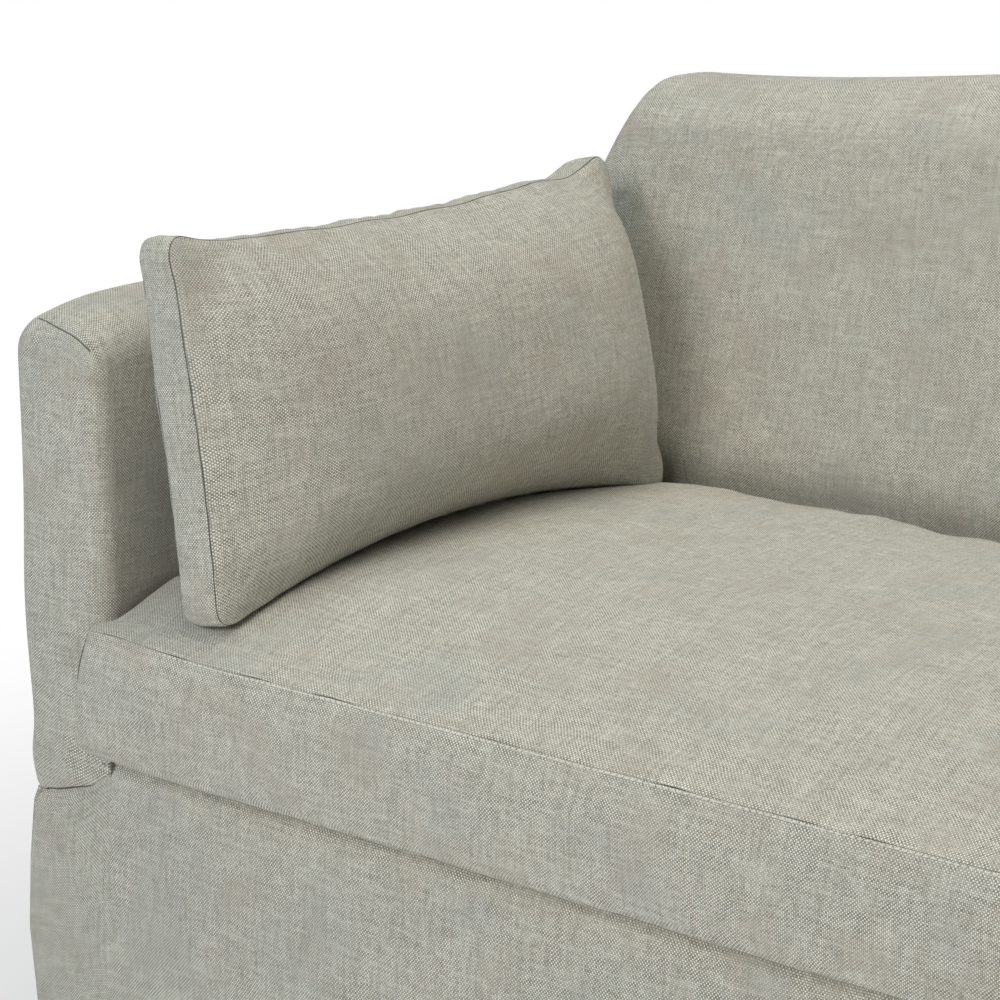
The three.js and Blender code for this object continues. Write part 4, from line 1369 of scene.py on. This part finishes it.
@dataclass
class SofaArm:
    """A padded arm in one cover: a front that wraps round both edges, and a top seamed to it."""

    body: Body
    outer_radius: float = 0.028
    inner_radius: float = 0.040
    edge_round: float = 0.020
    front_run: float = 0.090
    front_drop: float = 0.014
    lining_height: float = 0.330
    belly: float = 0.003
    foot_roll: float = 0.002
    foot_run: float = 0.007
    seam_line: tuple[tuple[float, float], ...] = (
        (0.0200, 0.7590), (0.0318, 0.7562), (0.0429, 0.7520), (0.0535, 0.7480),
        (0.0635, 0.7450), (0.0712, 0.7422), (0.0789, 0.7390), (0.0855, 0.7354), (0.0911, 0.7320),
    )
    seam_depth: float = 0.035
    seam_stretch: float = 1.25
    foot_fill: float = 0.050
    seam_sink: float = 0.0012
    seam_run: float = 0.0030
    step: float = 0.011
    arc_steps: int = 16
    edge_steps: int = 12
    flat_steps: int = 14

    def __post_init__(self) -> None:
        """Lists the places round the section: part, share of the part."""
        body = self.body
        self.feet = body.seam_height(np.array([body.half_width, body.arm_inside]))
        rise = body.arm_height - self.outer_radius - self.feet[0]
        fine = (0.0025, 0.005, 0.0075, 0.010, 0.0125, 0.015, 0.018, 0.022, 0.027, 0.033, 0.041)
        self.up_shares = spaced(0, rise, self.step, fine) / rise
        arc = np.linspace(0, 1, self.arc_steps + 1)
        lower = np.linspace(0, 1, 3)[1:]
        parts = [self.up_shares, arc[1:], np.linspace(0, 1, self.flat_steps + 1)[1:], arc[1:]]
        parts += [self.up_shares[::-1][1:], lower]
        self.part = np.concatenate([np.full(len(shares), i) for i, shares in enumerate(parts)])
        self.share = np.concatenate(parts)

    def section(self, ring: Array, behind: Array) -> tuple[Array, Array, Array, Array]:
        """The section of the arm, from its outer foot over the top to its inner foot.

        Args:
            ring: Which place round the section.
            behind: Distance behind the arm front.

        Returns:
            The distance from the outer face, the height, and the outward direction in both.
        """
        part, share = self.part[ring], self.share[ring]
        top = self.body.arm_height - self.front_drop * np.clip(1 - behind / self.front_run, 0, 1) ** 2
        width, outer, inner = self.body.arm_width, self.outer_radius, self.inner_radius
        angle = share * math.pi / 2
        zero = np.zeros_like(top)
        rows = [
            (zero, self.feet[0] + (top - outer - self.feet[0]) * share, zero - 1, zero),
            (outer * (1 - np.cos(angle)), top - outer + outer * np.sin(angle), -np.cos(angle), np.sin(angle)),
            (outer + (width - outer - inner) * share, top, zero, zero + 1),
            (width - inner + inner * np.sin(angle), top - inner + inner * np.cos(angle), np.sin(angle), np.cos(angle)),
            (zero + width, self.feet[1] + (top - inner - self.feet[1]) * share, zero + 1, zero),
            (zero + width, self.feet[1] + (self.lining_height - self.feet[1]) * share, zero + 1, zero),
        ]
        across, up, out_x, out_z = (np.select([part == i for i in range(6)], column) for column in zip(*rows))
        return across, up, out_x, out_z

    def bulge(self, up: Array) -> Array:
        """How far the outer face stands out: full at mid height and just over the skirt seam."""
        return 0.0065 + 0.007 * bump(up - 0.47, 0.09) + 0.006 * bump(up - 0.325, 0.024)

    def place(self, across: Array, up: Array, y: Array) -> Array:
        """Puts a point of the arm in the sofa, with the outer face's bulge."""
        share = np.clip(1 - across / (0.7 * self.body.arm_width), 0, 1)
        soft = self.bulge(up) * smooth(share, 0, 1) * smooth(self.body.arm_height - up, 0.0, 0.05)
        return stack(across - self.body.half_width - soft, y, up)

    def gathers(self, across: Array, up: Array) -> Array:
        """Short folds that run from the lower inner corner of the front, where three pieces meet."""
        from_corner = self.body.arm_width - across + 0.004
        above = up - self.feet[1] + 0.006
        angle = np.arctan2(above, from_corner)
        reach = np.hypot(from_corner, above)
        return 0.0026 * np.sin(angle * 9) * bump(reach - 0.014, 0.020)

    def foot_stretch(self, up: Array, inset: Array) -> Array:
        """How far the rounded inner edge is filled out towards its foot, where the deck begins."""
        return inset * (1 - smooth(up - self.feet[1], 0.0, self.foot_fill))

    def front(self) -> bpy.types.Object:
        """The front of the arm, softly bellied, its foot rolled in over the skirt.

        Returns:
            The panel.
        """
        top_ring = np.flatnonzero((self.part >= 1) & (self.part <= 3))
        top_ring = np.concatenate([[top_ring[0] - 1], top_ring])
        across, high, out_x, out_z = self.section(top_ring, np.zeros(len(top_ring)))
        across, high = across - out_x * self.edge_round, high - out_z * self.edge_round
        body = self.body

        def spot(column: Array, share: Array) -> tuple[Array, Array]:
            """Places across and up the front."""
            i = column.astype(int)
            left, right = self.feet
            tilt = (across[i] - across[0]) / (across[-1] - across[0])
            edge = np.where(tilt < 1, body.seam_height(body.half_width - across[i]), right)
            low = np.where(tilt <= 0, left, edge)
            return across[i], low + (high[i] - low) * share

        def surface(column: Array, share: Array) -> Array:
            """The points of the front."""
            x, z = spot(column, share)
            low = spot(column, np.zeros_like(share))[1]
            across_share = (x - across[0]) / (across[-1] - across[0])
            below = high[column.astype(int)] - z
            soft = self.belly * np.sin(np.pi * across_share) * smooth(z - low, 0, 0.05) * smooth(below, 0, 0.05)
            roll = self.foot_roll * np.clip(1 - (z - low) / self.foot_run, 0, 1) ** 2
            lie = 0.0012 * ripple(x, z, 61, 0.12) * np.sin(np.pi * across_share)
            lie = lie * smooth(below, 0, 0.03)
            half = body.arm_width / 2
            near = np.clip((x - half) / (half - self.edge_round), 0, 1)
            x = x + self.foot_stretch(z, near * self.edge_round)
            return self.place(x, z, body.front - soft + roll - lie - self.gathers(x, z))

        def to_seam(column: Array, share: Array) -> tuple[Array, Array]:
            """The signed distance to the top seam, or to the foot's seam where that is nearer."""
            x, z = spot(column, share)
            foot = spot(column, np.zeros_like(share))[1]
            aside, past = self.to_top_seam(x, z, 0 * x)
            low = z - foot < SEAM_REACH
            return np.where(low, z - foot, aside), np.where(low, 0, past)

        def sunk(column: Array, share: Array) -> Array:
            """The points of the front with the top seam drawn in."""
            points = surface(column, share)
            x, z = spot(column, share)
            aside, past = self.to_top_seam(x, z, 0 * x)
            points[..., 1] += self.seam_sink * bump(np.hypot(aside, past), self.seam_run)
            return points

        panel = Panel("arm_front", np.arange(len(top_ring), dtype=float), self.up_shares)
        return panel.lay(sunk, lambda column, share, *_: spot(column, share), to_seam)

    def to_top_seam(self, across: Array, up: Array, behind: Array) -> tuple[Array, Array]:
        """Where a place of the arm lies from the seam between the front and the top.

        Args:
            across: Distances from the outer face.
            up: Heights.
            behind: Distances behind the arm front.

        Returns:
            The distance from the seam's line, positive below it, and the distance past its ends.
        """
        line_x, line_z = np.array(self.seam_line).T
        slope = np.interp(across, line_x, np.gradient(line_z, line_x))
        first, last = (np.gradient(line_z, line_x)[i] for i in (0, -1))
        height = np.interp(across, line_x, line_z)
        height = height + first * np.minimum(across - line_x[0], 0) + last * np.maximum(across - line_x[-1], 0)
        aside = (height - up - behind) / np.hypot(1, slope) / self.seam_stretch
        past = np.maximum(np.maximum(line_x[0] - across, across - line_x[-1]), 0) * math.hypot(1, last)
        return aside, past

    def side(self) -> bpy.types.Object:
        """The sides and the top, from the rounded front edge to the back.

        Returns:
            The panel.
        """
        body = self.body
        angles = np.linspace(0, math.pi / 2, self.edge_steps + 1)
        quarter = self.edge_round * math.pi / 2
        straight = spaced(self.edge_round, body.rear - body.front - 0.0028, self.step)[1:]
        behind = np.concatenate([self.edge_round * (1 - np.cos(angles)), straight])
        inset = np.concatenate([self.edge_round * (1 - np.sin(angles)), 0 * straight])
        run = np.concatenate([self.edge_round * angles, quarter + straight - self.edge_round])

        def to_seam(station: Array, ring: Array) -> tuple[Array, Array]:
            """The distance to the seam between the front and the top, or to the foot's seam."""
            i, j = station.astype(int), ring.astype(int)
            across, up, out_x, out_z = self.section(j, behind[i])
            aside, past = self.to_top_seam(across - out_x * inset[i], up - out_z * inset[i], behind[i])
            past = past + np.maximum(behind[i] - self.seam_depth, 0) + (self.part[j] >= 4) * SEAM_REACH
            above = np.abs(up - self.feet[0])
            low = (above < SEAM_REACH) & (self.part[j] <= 0)
            return np.where(low, above, aside), np.where(low, 0, past)

        def surface(station: Array, ring: Array) -> Array:
            """The points of the sides and top."""
            i, j = station.astype(int), ring.astype(int)
            across, up, out_x, out_z = self.section(j, behind[i])
            sink = inset[i] + self.seam_sink * bump(np.hypot(*to_seam(station, ring)), self.seam_run)
            along = body.front + behind[i]
            across, up = across - out_x * sink, up - out_z * sink
            front_end = bump(behind[i], 0.02)
            roll = self.foot_roll * np.clip(1 - (up - self.feet[0]) / self.foot_run, 0, 1) ** 2
            along = along + roll * front_end * (across < body.arm_width / 2)
            across = across + self.foot_stretch(up, inset[i]) * (across > body.arm_width / 2) * (self.part[j] >= 4)
            lie = 0.0016 * ripple(along, up, 62, 0.26) * smooth(behind[i], 0.01, 0.12)
            along = along - self.gathers(across, up) * (1 - smooth(behind[i], 0.0, 0.02))
            return self.place(across + out_x * lie, up + out_z * lie, along)

        def weave(station: Array, ring: Array, _: Array, middle: Array) -> tuple[Array, Array]:
            """The weave goes up the sides with the front, and along the top."""
            i, j = station.astype(int), ring.astype(int)
            across, up, _, _ = self.section(j, behind[i])
            of_face = self.part[np.minimum(middle.astype(int) + 1, len(self.part) - 1)]
            outer = of_face <= 0
            inner = of_face >= 4
            on_top = ~(outer | inner)
            u = np.where(outer, self.edge_round - run[i], body.arm_width - self.edge_round + run[i])
            u = np.where(on_top, self.ring_run()[j] + 4, u)
            return u, np.where(on_top, run[i], up)

        stations, rings = np.arange(len(run), dtype=float), np.arange(len(self.part), dtype=float)
        return Panel("arm_side", stations, rings).lay(surface, weave, to_seam)

    def ring_run(self) -> Array:
        """The distance run round the section to each of its places."""
        across, up, _, _ = self.section(np.arange(len(self.part)), np.full(len(self.part), self.front_run))
        return np.concatenate([[0.0], np.cumsum(np.hypot(np.diff(across), np.diff(up)))])

    def build(self) -> bpy.types.Object:
        """The left arm's cover.

        Returns:
            The cover, before dress gives it its cloth's thickness.
        """
        return sew("left_arm_upholstery", [self.front(), self.side()], 0.00008)

    def dress(self) -> None:
        """Builds both arms and puts them on the body."""
        left = self.build()
        thicken(left, 0.0025)
        right = mirrored(left, "right_arm_upholstery")
        for hand, cover in (("left", left), ("right", right)):
            nodes = (f"{hand}_arm_front_panel", f"{hand}_arm_cover", f"{hand}_arm_pad")
            finish_piece(cover, "body", Finish.LINEN, nodes)


# Back


@dataclass
class SofaBack:
    """The tight inside back that rolls over the camel outline, and the flat outside back."""

    body: Body
    round_up: float = 0.075
    round_back: float = 0.066
    rear_round: float = 0.034
    rear_power: float = 3.2
    tuck_height: float = 0.346
    foot_height: float = 0.560
    foot_run: float = 0.070
    foot_depth: float = 0.034
    side_tuck: float = 0.032
    tuck_drop: float = 0.012
    corner_return: float = 0.014
    cloth: float = 0.0025

    def section(self, x: Array, share: Array) -> tuple[Array, Array, Array]:
        """The section of the back: up the inside, over the roll and back to the rear seam.

        Args:
            x: Places across the sofa.
            share: From 0 at the tuck to 3 at the rear seam.

        Returns:
            The places along and up, and the cloth's run to each.
        """
        body = self.body
        top = body.back_top(x)
        rise = top - self.round_up
        up_share = np.clip(share, 0, 1)
        turn = np.clip(share - 1, 0, 1) * math.pi / 2
        over = np.clip(share - 2, 0, 1) * math.pi / 2
        z = self.tuck_height + (rise - self.tuck_height) * up_share + self.round_up * np.sin(turn)
        y = body.inside_back(z) + self.round_back * (1 - np.cos(turn))
        y = y + self.foot_depth * np.clip((self.foot_height - z) / self.foot_run, 0, 1) ** 2
        run = np.clip((body.arm_inside - np.abs(x)) / body.shoulder_run, 0, 1)
        drop = np.maximum(self.rear_round * run * run * (3 - 2 * run), 0.003)
        peak = body.inside_back(top) + self.round_back
        rear = body.rear - self.cloth
        exponent = 2 / self.rear_power
        y = np.where(share > 2, peak + (rear - peak) * np.sin(over) ** exponent, y)
        z = np.where(share > 2, top - drop * (1 - np.maximum(np.cos(over), 0) ** exponent), z)
        return y, z, up_share * 0.45 + np.clip(share - 1, 0, 2) * 0.11

    def build_inside(self) -> bpy.types.Object:
        """The inside back with its roll.

        Returns:
            The cover.
        """
        body = self.body
        edge = body.arm_inside
        tuck = edge + self.side_tuck * np.array([1.0, 0.75, 0.5, 0.25])
        columns = np.concatenate([
            -tuck,
            -edge + spaced(0, body.shoulder_run, 0.008),
            np.linspace(-edge + body.shoulder_run, edge - body.shoulder_run, 115)[1:-1],
            edge - spaced(0, body.shoulder_run, 0.008)[::-1],
            tuck[::-1],
        ])
        rows = np.concatenate([np.linspace(0, 1, 34)[:-1], np.linspace(1, 2, 13)[:-1], np.linspace(2, 3, 13)])

        def surface(x: Array, share: Array) -> Array:
            """The points of the inside back."""
            y, z, _ = self.section(x, share)
            lie = 0.0018 * ripple(x, z, 41, 0.5) * np.clip(share, 0, 1) * (share < 1.2)
            return stack(x, y - lie, z - self.tuck_drop * smooth(np.abs(x) - edge, 0, self.side_tuck))

        return Panel("inside_back", columns, rows).lay(surface, lambda x, s, *_: (x, self.section(x, s)[1] + s * 0.05))

    def build_outside(self) -> bpy.types.Object:
        """The flat outside back, from the skirt seam to the rear seam of the roll.

        Returns:
            The cover.
        """
        body = self.body
        half = body.half_width
        columns = np.concatenate([
            -half + spaced(0, body.arm_width, 0.006),
            -body.arm_inside + spaced(0, body.shoulder_run, 0.008)[1:],
            np.linspace(-body.arm_inside + body.shoulder_run, 0, 60)[1:-1],
        ])
        columns = np.concatenate([[-half - self.corner_return], columns, [0.0], -columns[::-1]])
        columns = np.concatenate([columns, [half + self.corner_return]])
        rows = np.linspace(0, 1, 50)
        radius = 0.028

        def top_of(x: Array) -> Array:
            """The upper edge of the outside back."""
            from_outside = np.maximum(half - np.abs(x), 0)
            arc = np.sqrt(np.maximum(radius**2 - np.maximum(radius - from_outside, 0) ** 2, 0))
            arm = body.arm_height - radius + arc
            _, rear_seam, _ = self.section(x, np.full_like(x, 3.0))
            return np.where(np.abs(x) > body.arm_inside, arm, np.maximum(rear_seam, body.arm_height - 0.003))

        def surface(x: Array, share: Array) -> Array:
            """The points of the outside back."""
            low = body.seam_foot + 0.0003
            z = low + (top_of(x) - low) * share
            return stack(np.clip(x, -half, half), body.rear - np.maximum(np.abs(x) - half, 0), z)

        cover = Panel("outside_back", columns, rows).lay(
            surface, lambda x, s, *_: (x, s * (top_of(x) - body.seam_foot) + 5)
        )
        return sew("outside_back", [cover])

    def dress(self) -> None:
        """Builds the back and puts it on the body."""
        inside = sew("inside_back", [self.build_inside()])
        thicken(inside, self.cloth)
        finish_piece(inside, "body", Finish.LINEN, ("inside_back_cover", "back_pad"))
        outside = thicken(self.build_outside(), -self.cloth)
        finish_piece(outside, "body", Finish.LINEN, ("outside_back_cover",))


# Skirt


@dataclass
class Skirt:
    """A lined skirt: a panel on each side, bellied out and lightly folded."""

    body: Body
    hem: float = 0.012
    flare: float = 0.009
    fold: float = 0.004
    fold_pitch: float = 0.190
    tuck: float = 0.0045
    tuck_run: float = 0.014
    stand_shares: tuple[float, ...] = (0.0, 0.62, 1.0, 0.78, 0.6)
    cloth: float = 0.0025

    def stand(self, share: Array, along: Array) -> Array:
        """How far the skirt stands out from the body.

        Args:
            share: From 0 at the seam to 1 at the hem.
            along: The place along the panel.

        Returns:
            The distance out.
        """
        places = np.linspace(0, 1, len(self.stand_shares))
        flare = np.interp(share, places, self.stand_shares) * self.flare
        fold = self.fold * share * (1 - np.cos(2 * math.pi * along / self.fold_pitch)) / 2
        return flare - fold

    def panel(self, name: str, half_run: float, to_point: Callable, top_of: Callable) -> bpy.types.Object:
        """One panel of the skirt.

        Args:
            name: Its name.
            half_run: Half its length along the seam.
            to_point: Puts a place along, out and up in the sofa.
            top_of: The height of the seam at a place along.

        Returns:
            The panel.
        """
        columns = spaced(-half_run, half_run, 0.012, (0.002, 0.005, 0.010))
        rows = np.concatenate([[0, 0.006, 0.013, 0.021, 0.03, 0.041], np.linspace(0.055, 1, 30)])

        def surface(along: Array, share: Array) -> Array:
            """The points of the panel."""
            top = top_of(along)
            z = top + (self.hem - top) * share
            stand = self.stand(share, along) - self.tuck * (1 - smooth(top - z, 0, self.tuck_run))
            reach = 1 + self.stand(share, np.full_like(along, half_run)) / half_run
            return to_point(along * reach, stand, z)

        panel = Panel(name, columns, rows).lay(surface, lambda a, s, *_: (a, s * (self.hem - self.body.seam_foot)))
        return sew(name, [panel])

    def dress(self) -> None:
        """Builds the four panels and puts them on the body."""
        body = self.body
        side_middle = (body.front + body.rear) / 2
        side_run = (body.rear - body.front) / 2
        level = lambda along: np.full_like(along, body.seam_foot)
        panels = {
            "front_skirt": (body.half_width, lambda a, out, z: stack(a, body.front - out, z), body.seam_height),
            "rear_skirt": (body.half_width, lambda a, out, z: stack(a, body.rear + out, z), level),
            "left_skirt": (side_run, lambda a, out, z: stack(-body.half_width - out, side_middle + a, z), level),
            "right_skirt": (side_run, lambda a, out, z: stack(body.half_width + out, side_middle + a, z), level),
        }
        outward = {"front_skirt": (0, -1), "rear_skirt": (0, 1), "left_skirt": (-1, 0), "right_skirt": (1, 0)}
        for node, (half_run, to_point, top_of) in panels.items():
            piece = self.panel(f"{node}_panel", half_run, to_point, top_of)
            normals = np.zeros(len(piece.data.polygons) * 3)
            piece.data.polygons.foreach_get("normal", normals)
            mean = normals.reshape(-1, 3).mean(0)
            if mean[0] * outward[node][0] + mean[1] * outward[node][1] < 0:
                piece.data.flip_normals()
            thicken(piece, self.cloth)
            finish_piece(piece, "body", Finish.LINEN, (node,))
            top = body.deck_height if node == "front_skirt" else body.seam_foot
            rail = node.replace("skirt", "rail" if node in ("front_skirt", "rear_skirt") else "side_rail")
            2 * half_run
            top - self.hem


# Deck and the frame's own finishes


@dataclass
class Deck:
    """The cloth-covered pad that the cushion lies on."""

    body: Body

    def dress(self) -> None:
        """Builds the deck and puts it on the body."""
        low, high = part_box("deck_pad")
        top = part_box("deck_cover")[1].z
        columns = spaced(low.x, high.x, 0.02, (0.003, 0.008))
        rows = spaced(low.y, high.y, 0.02, (0.003, 0.008))

        def surface(x: Array, y: Array) -> Array:
            """The points of the deck cloth."""
            edge = np.minimum(np.minimum(x - low.x, high.x - x), np.minimum(y - low.y, high.y - y))
            return stack(x, y, top - 0.004 * smooth(edge, 0.02, 0.2))

        cloth = Panel("deck", columns, rows).lay(surface, lambda x, y, *_: (x, y + 9))
        deck = sew("deck_platform", [cloth])
        thicken(deck, 0.0025)
        finish_piece(deck, "body", Finish.LINEN, ("deck_cover", "deck_pad"))


@dataclass
class FrameDressing:
    """The finishes of the pieces that keep their CAD shape."""

    burlap: tuple[str, ...] = ("back_burlap",)
    zips: tuple[str, ...] = ("seat_cushion_zip", "left_pillow_zip", "right_pillow_zip")
    done: list[str] = field(default_factory=list)

    def finish_of(self, node: str) -> Optional[Finish]:
        """Which finish a CAD node has, by its name.

        Args:
            node: The node's name.

        Returns:
            The finish, or None where a soft piece stands for the node.
        """
        if node in self.burlap:
            return Finish.BURLAP
        if node in self.zips:
            return Finish.ZIP_TAPE
        if node.startswith("seat_spring"):
            return Finish.SPRING_STEEL
        if node.endswith("_foot"):
            return Finish.FOOT_TIMBER
        timber = ("rail", "block", "post", "stretcher", "upright")
        return Finish.FRAME_TIMBER if any(word in node for word in timber) else None

    def dress(self) -> None:
        """Gives each shown CAD node its finish."""
        for name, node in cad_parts.items():
            finish = self.finish_of(name)
            if finish is not None:
                finish.dress(node)
                self.done.append(name)
        LOG.info("%d frame pieces finished", len(self.done))


# Camera, light and floor


@dataclass(frozen=True)
class Studio:
    """The photographer's white room."""

    camera_place: tuple = (0.65808, -2.06293, 1.22491)
    camera_azimuth: float = math.radians(36.41)
    camera_elevation: float = math.radians(15.45)
    lens: float = 95.91
    floor_white: float = 0.96
    sky: float = 0.02
    floor_size: float = 24.0
    floor_glow: float = 0.55
    floor_fade: tuple[float, float] = (1.2, 2.2)

    def add_camera(self) -> None:
        """Places the camera as in the photograph."""
        data = bpy.data.cameras.new("camera")
        data.lens = self.lens
        data.sensor_width = 36.0
        camera = bpy.data.objects.new("camera", data)
        bpy.context.scene.collection.objects.link(camera)
        camera.location = self.camera_place
        camera.rotation_euler = (math.pi / 2 - self.camera_elevation, 0, self.camera_azimuth)
        bpy.context.scene.camera = camera

    def add_lamp(self, name: str, place: tuple, aim: tuple, size: float, power: float, colour: tuple) -> None:
        """Adds a square soft lamp.

        Args:
            name: Its name.
            place: Where it hangs.
            aim: What it points at.
            size: Its width.
            power: Its power in watts.
            colour: The colour of its light.
        """
        data = bpy.data.lights.new(name, "AREA")
        data.shape = "SQUARE"
        data.size = size
        data.energy = power
        data.color = colour
        lamp = bpy.data.objects.new(name, data)
        bpy.context.scene.collection.objects.link(lamp)
        lamp.location = place
        lamp.rotation_euler = (Vector(aim) - Vector(place)).to_track_quat("-Z", "Y").to_euler()

    def add_world(self) -> None:
        """A soft white room: dim for the object's light, white where it is seen."""
        world = bpy.data.worlds.new("room")
        bpy.context.scene.world = world
        world.use_nodes = True
        tree = world.node_tree
        tree.nodes.clear()
        path = tree.nodes.new("ShaderNodeLightPath")
        seen = tree.nodes.new("ShaderNodeMath")
        seen.operation = "MAXIMUM"
        through = tree.nodes.new("ShaderNodeMath")
        through.operation = "MAXIMUM"
        lit, white, mix = (tree.nodes.new(kind) for kind in (
            "ShaderNodeBackground", "ShaderNodeBackground", "ShaderNodeMixShader"))
        lit.inputs["Strength"].default_value = self.sky
        lit.inputs["Color"].default_value = (0.97, 0.985, 1.0, 1.0)
        white.inputs["Strength"].default_value = 1.0
        white.inputs["Color"].default_value = (1, 1, 1, 1)
        output = tree.nodes.new("ShaderNodeOutputWorld")
        tree.links.new(path.outputs["Is Camera Ray"], seen.inputs[0])
        tree.links.new(path.outputs["Is Glossy Ray"], seen.inputs[1])
        tree.links.new(seen.outputs[0], through.inputs[0])
        tree.links.new(path.outputs["Is Transmission Ray"], through.inputs[1])
        tree.links.new(through.outputs[0], mix.inputs[0])
        tree.links.new(lit.outputs[0], mix.inputs[1])
        tree.links.new(white.outputs[0], mix.inputs[2])
        tree.links.new(mix.outputs[0], output.inputs[0])

    def add_floor(self) -> None:
        """A pale floor that keeps the shadow near the sofa and is plain white far away."""
        clear_selection()
        bpy.ops.mesh.primitive_plane_add(size=self.floor_size)
        floor = bpy.context.object
        floor.name = "floor"
        net = Net("floor_white")
        path = net.node("ShaderNodeLightPath")
        seen = (Wire(net, path.outputs["Is Camera Ray"]) + Wire(net, path.outputs["Is Glossy Ray"])).clamped()
        parts = net.node("ShaderNodeSeparateXYZ", Vector=net.object_place())
        x, y = Wire(net, parts.outputs[0]), Wire(net, parts.outputs[1])
        distance = (x * x + y * y).power(0.5)
        white = distance.step(*self.floor_fade) * (1 - self.floor_glow) + self.floor_glow
        matt = net.node("ShaderNodeBsdfDiffuse", Color=(*(self.floor_white,) * 3, 1.0))
        glow = net.node("ShaderNodeEmission")
        mix = net.node(
            "ShaderNodeMixShader", s0=white * seen, s1=Wire(net, matt.outputs[0]), s2=Wire(net, glow.outputs[0])
        )
        net.tree.links.new(mix.outputs[0], net.output.inputs[0])
        floor.data.materials.append(net.material)

    def build(self) -> None:
        """Sets up camera, lamps, world and floor."""
        bpy.context.scene.view_settings.view_transform = "Standard"
        self.add_camera()
        self.add_world()
        self.add_floor()
        self.add_lamp("front", (-0.25, -4.2, 2.6), (-0.2, 0, 0.4), 1.6, 84, (1.03, 1.0, 0.975))
        self.add_lamp("left", (-2.6, -3.4, 3.2), (-0.2, 0, 0.4), 2.6, 21, (0.6, 1.05, 1.3))
        self.add_lamp("top", (0.15, 0.1, 3.35), (0, 0, 0.3), 3.0, 62, (1.04, 1.02, 0.93))


def main() -> None:
    """Builds the sofa's pieces in order."""
    logging.basicConfig(level=logging.INFO, format="%(message)s")
    Studio().build()
    body = Body.from_frame()
    FrameDressing().dress()
    Deck(body).dress()
    SofaArm(body).dress()
    SofaBack(body).dress()
    Skirt(body).dress()
    pillows = KidneyPillow().dress(body)
    SeatCushion(body, pillows).dress()


if __name__ == "__main__":
    main()
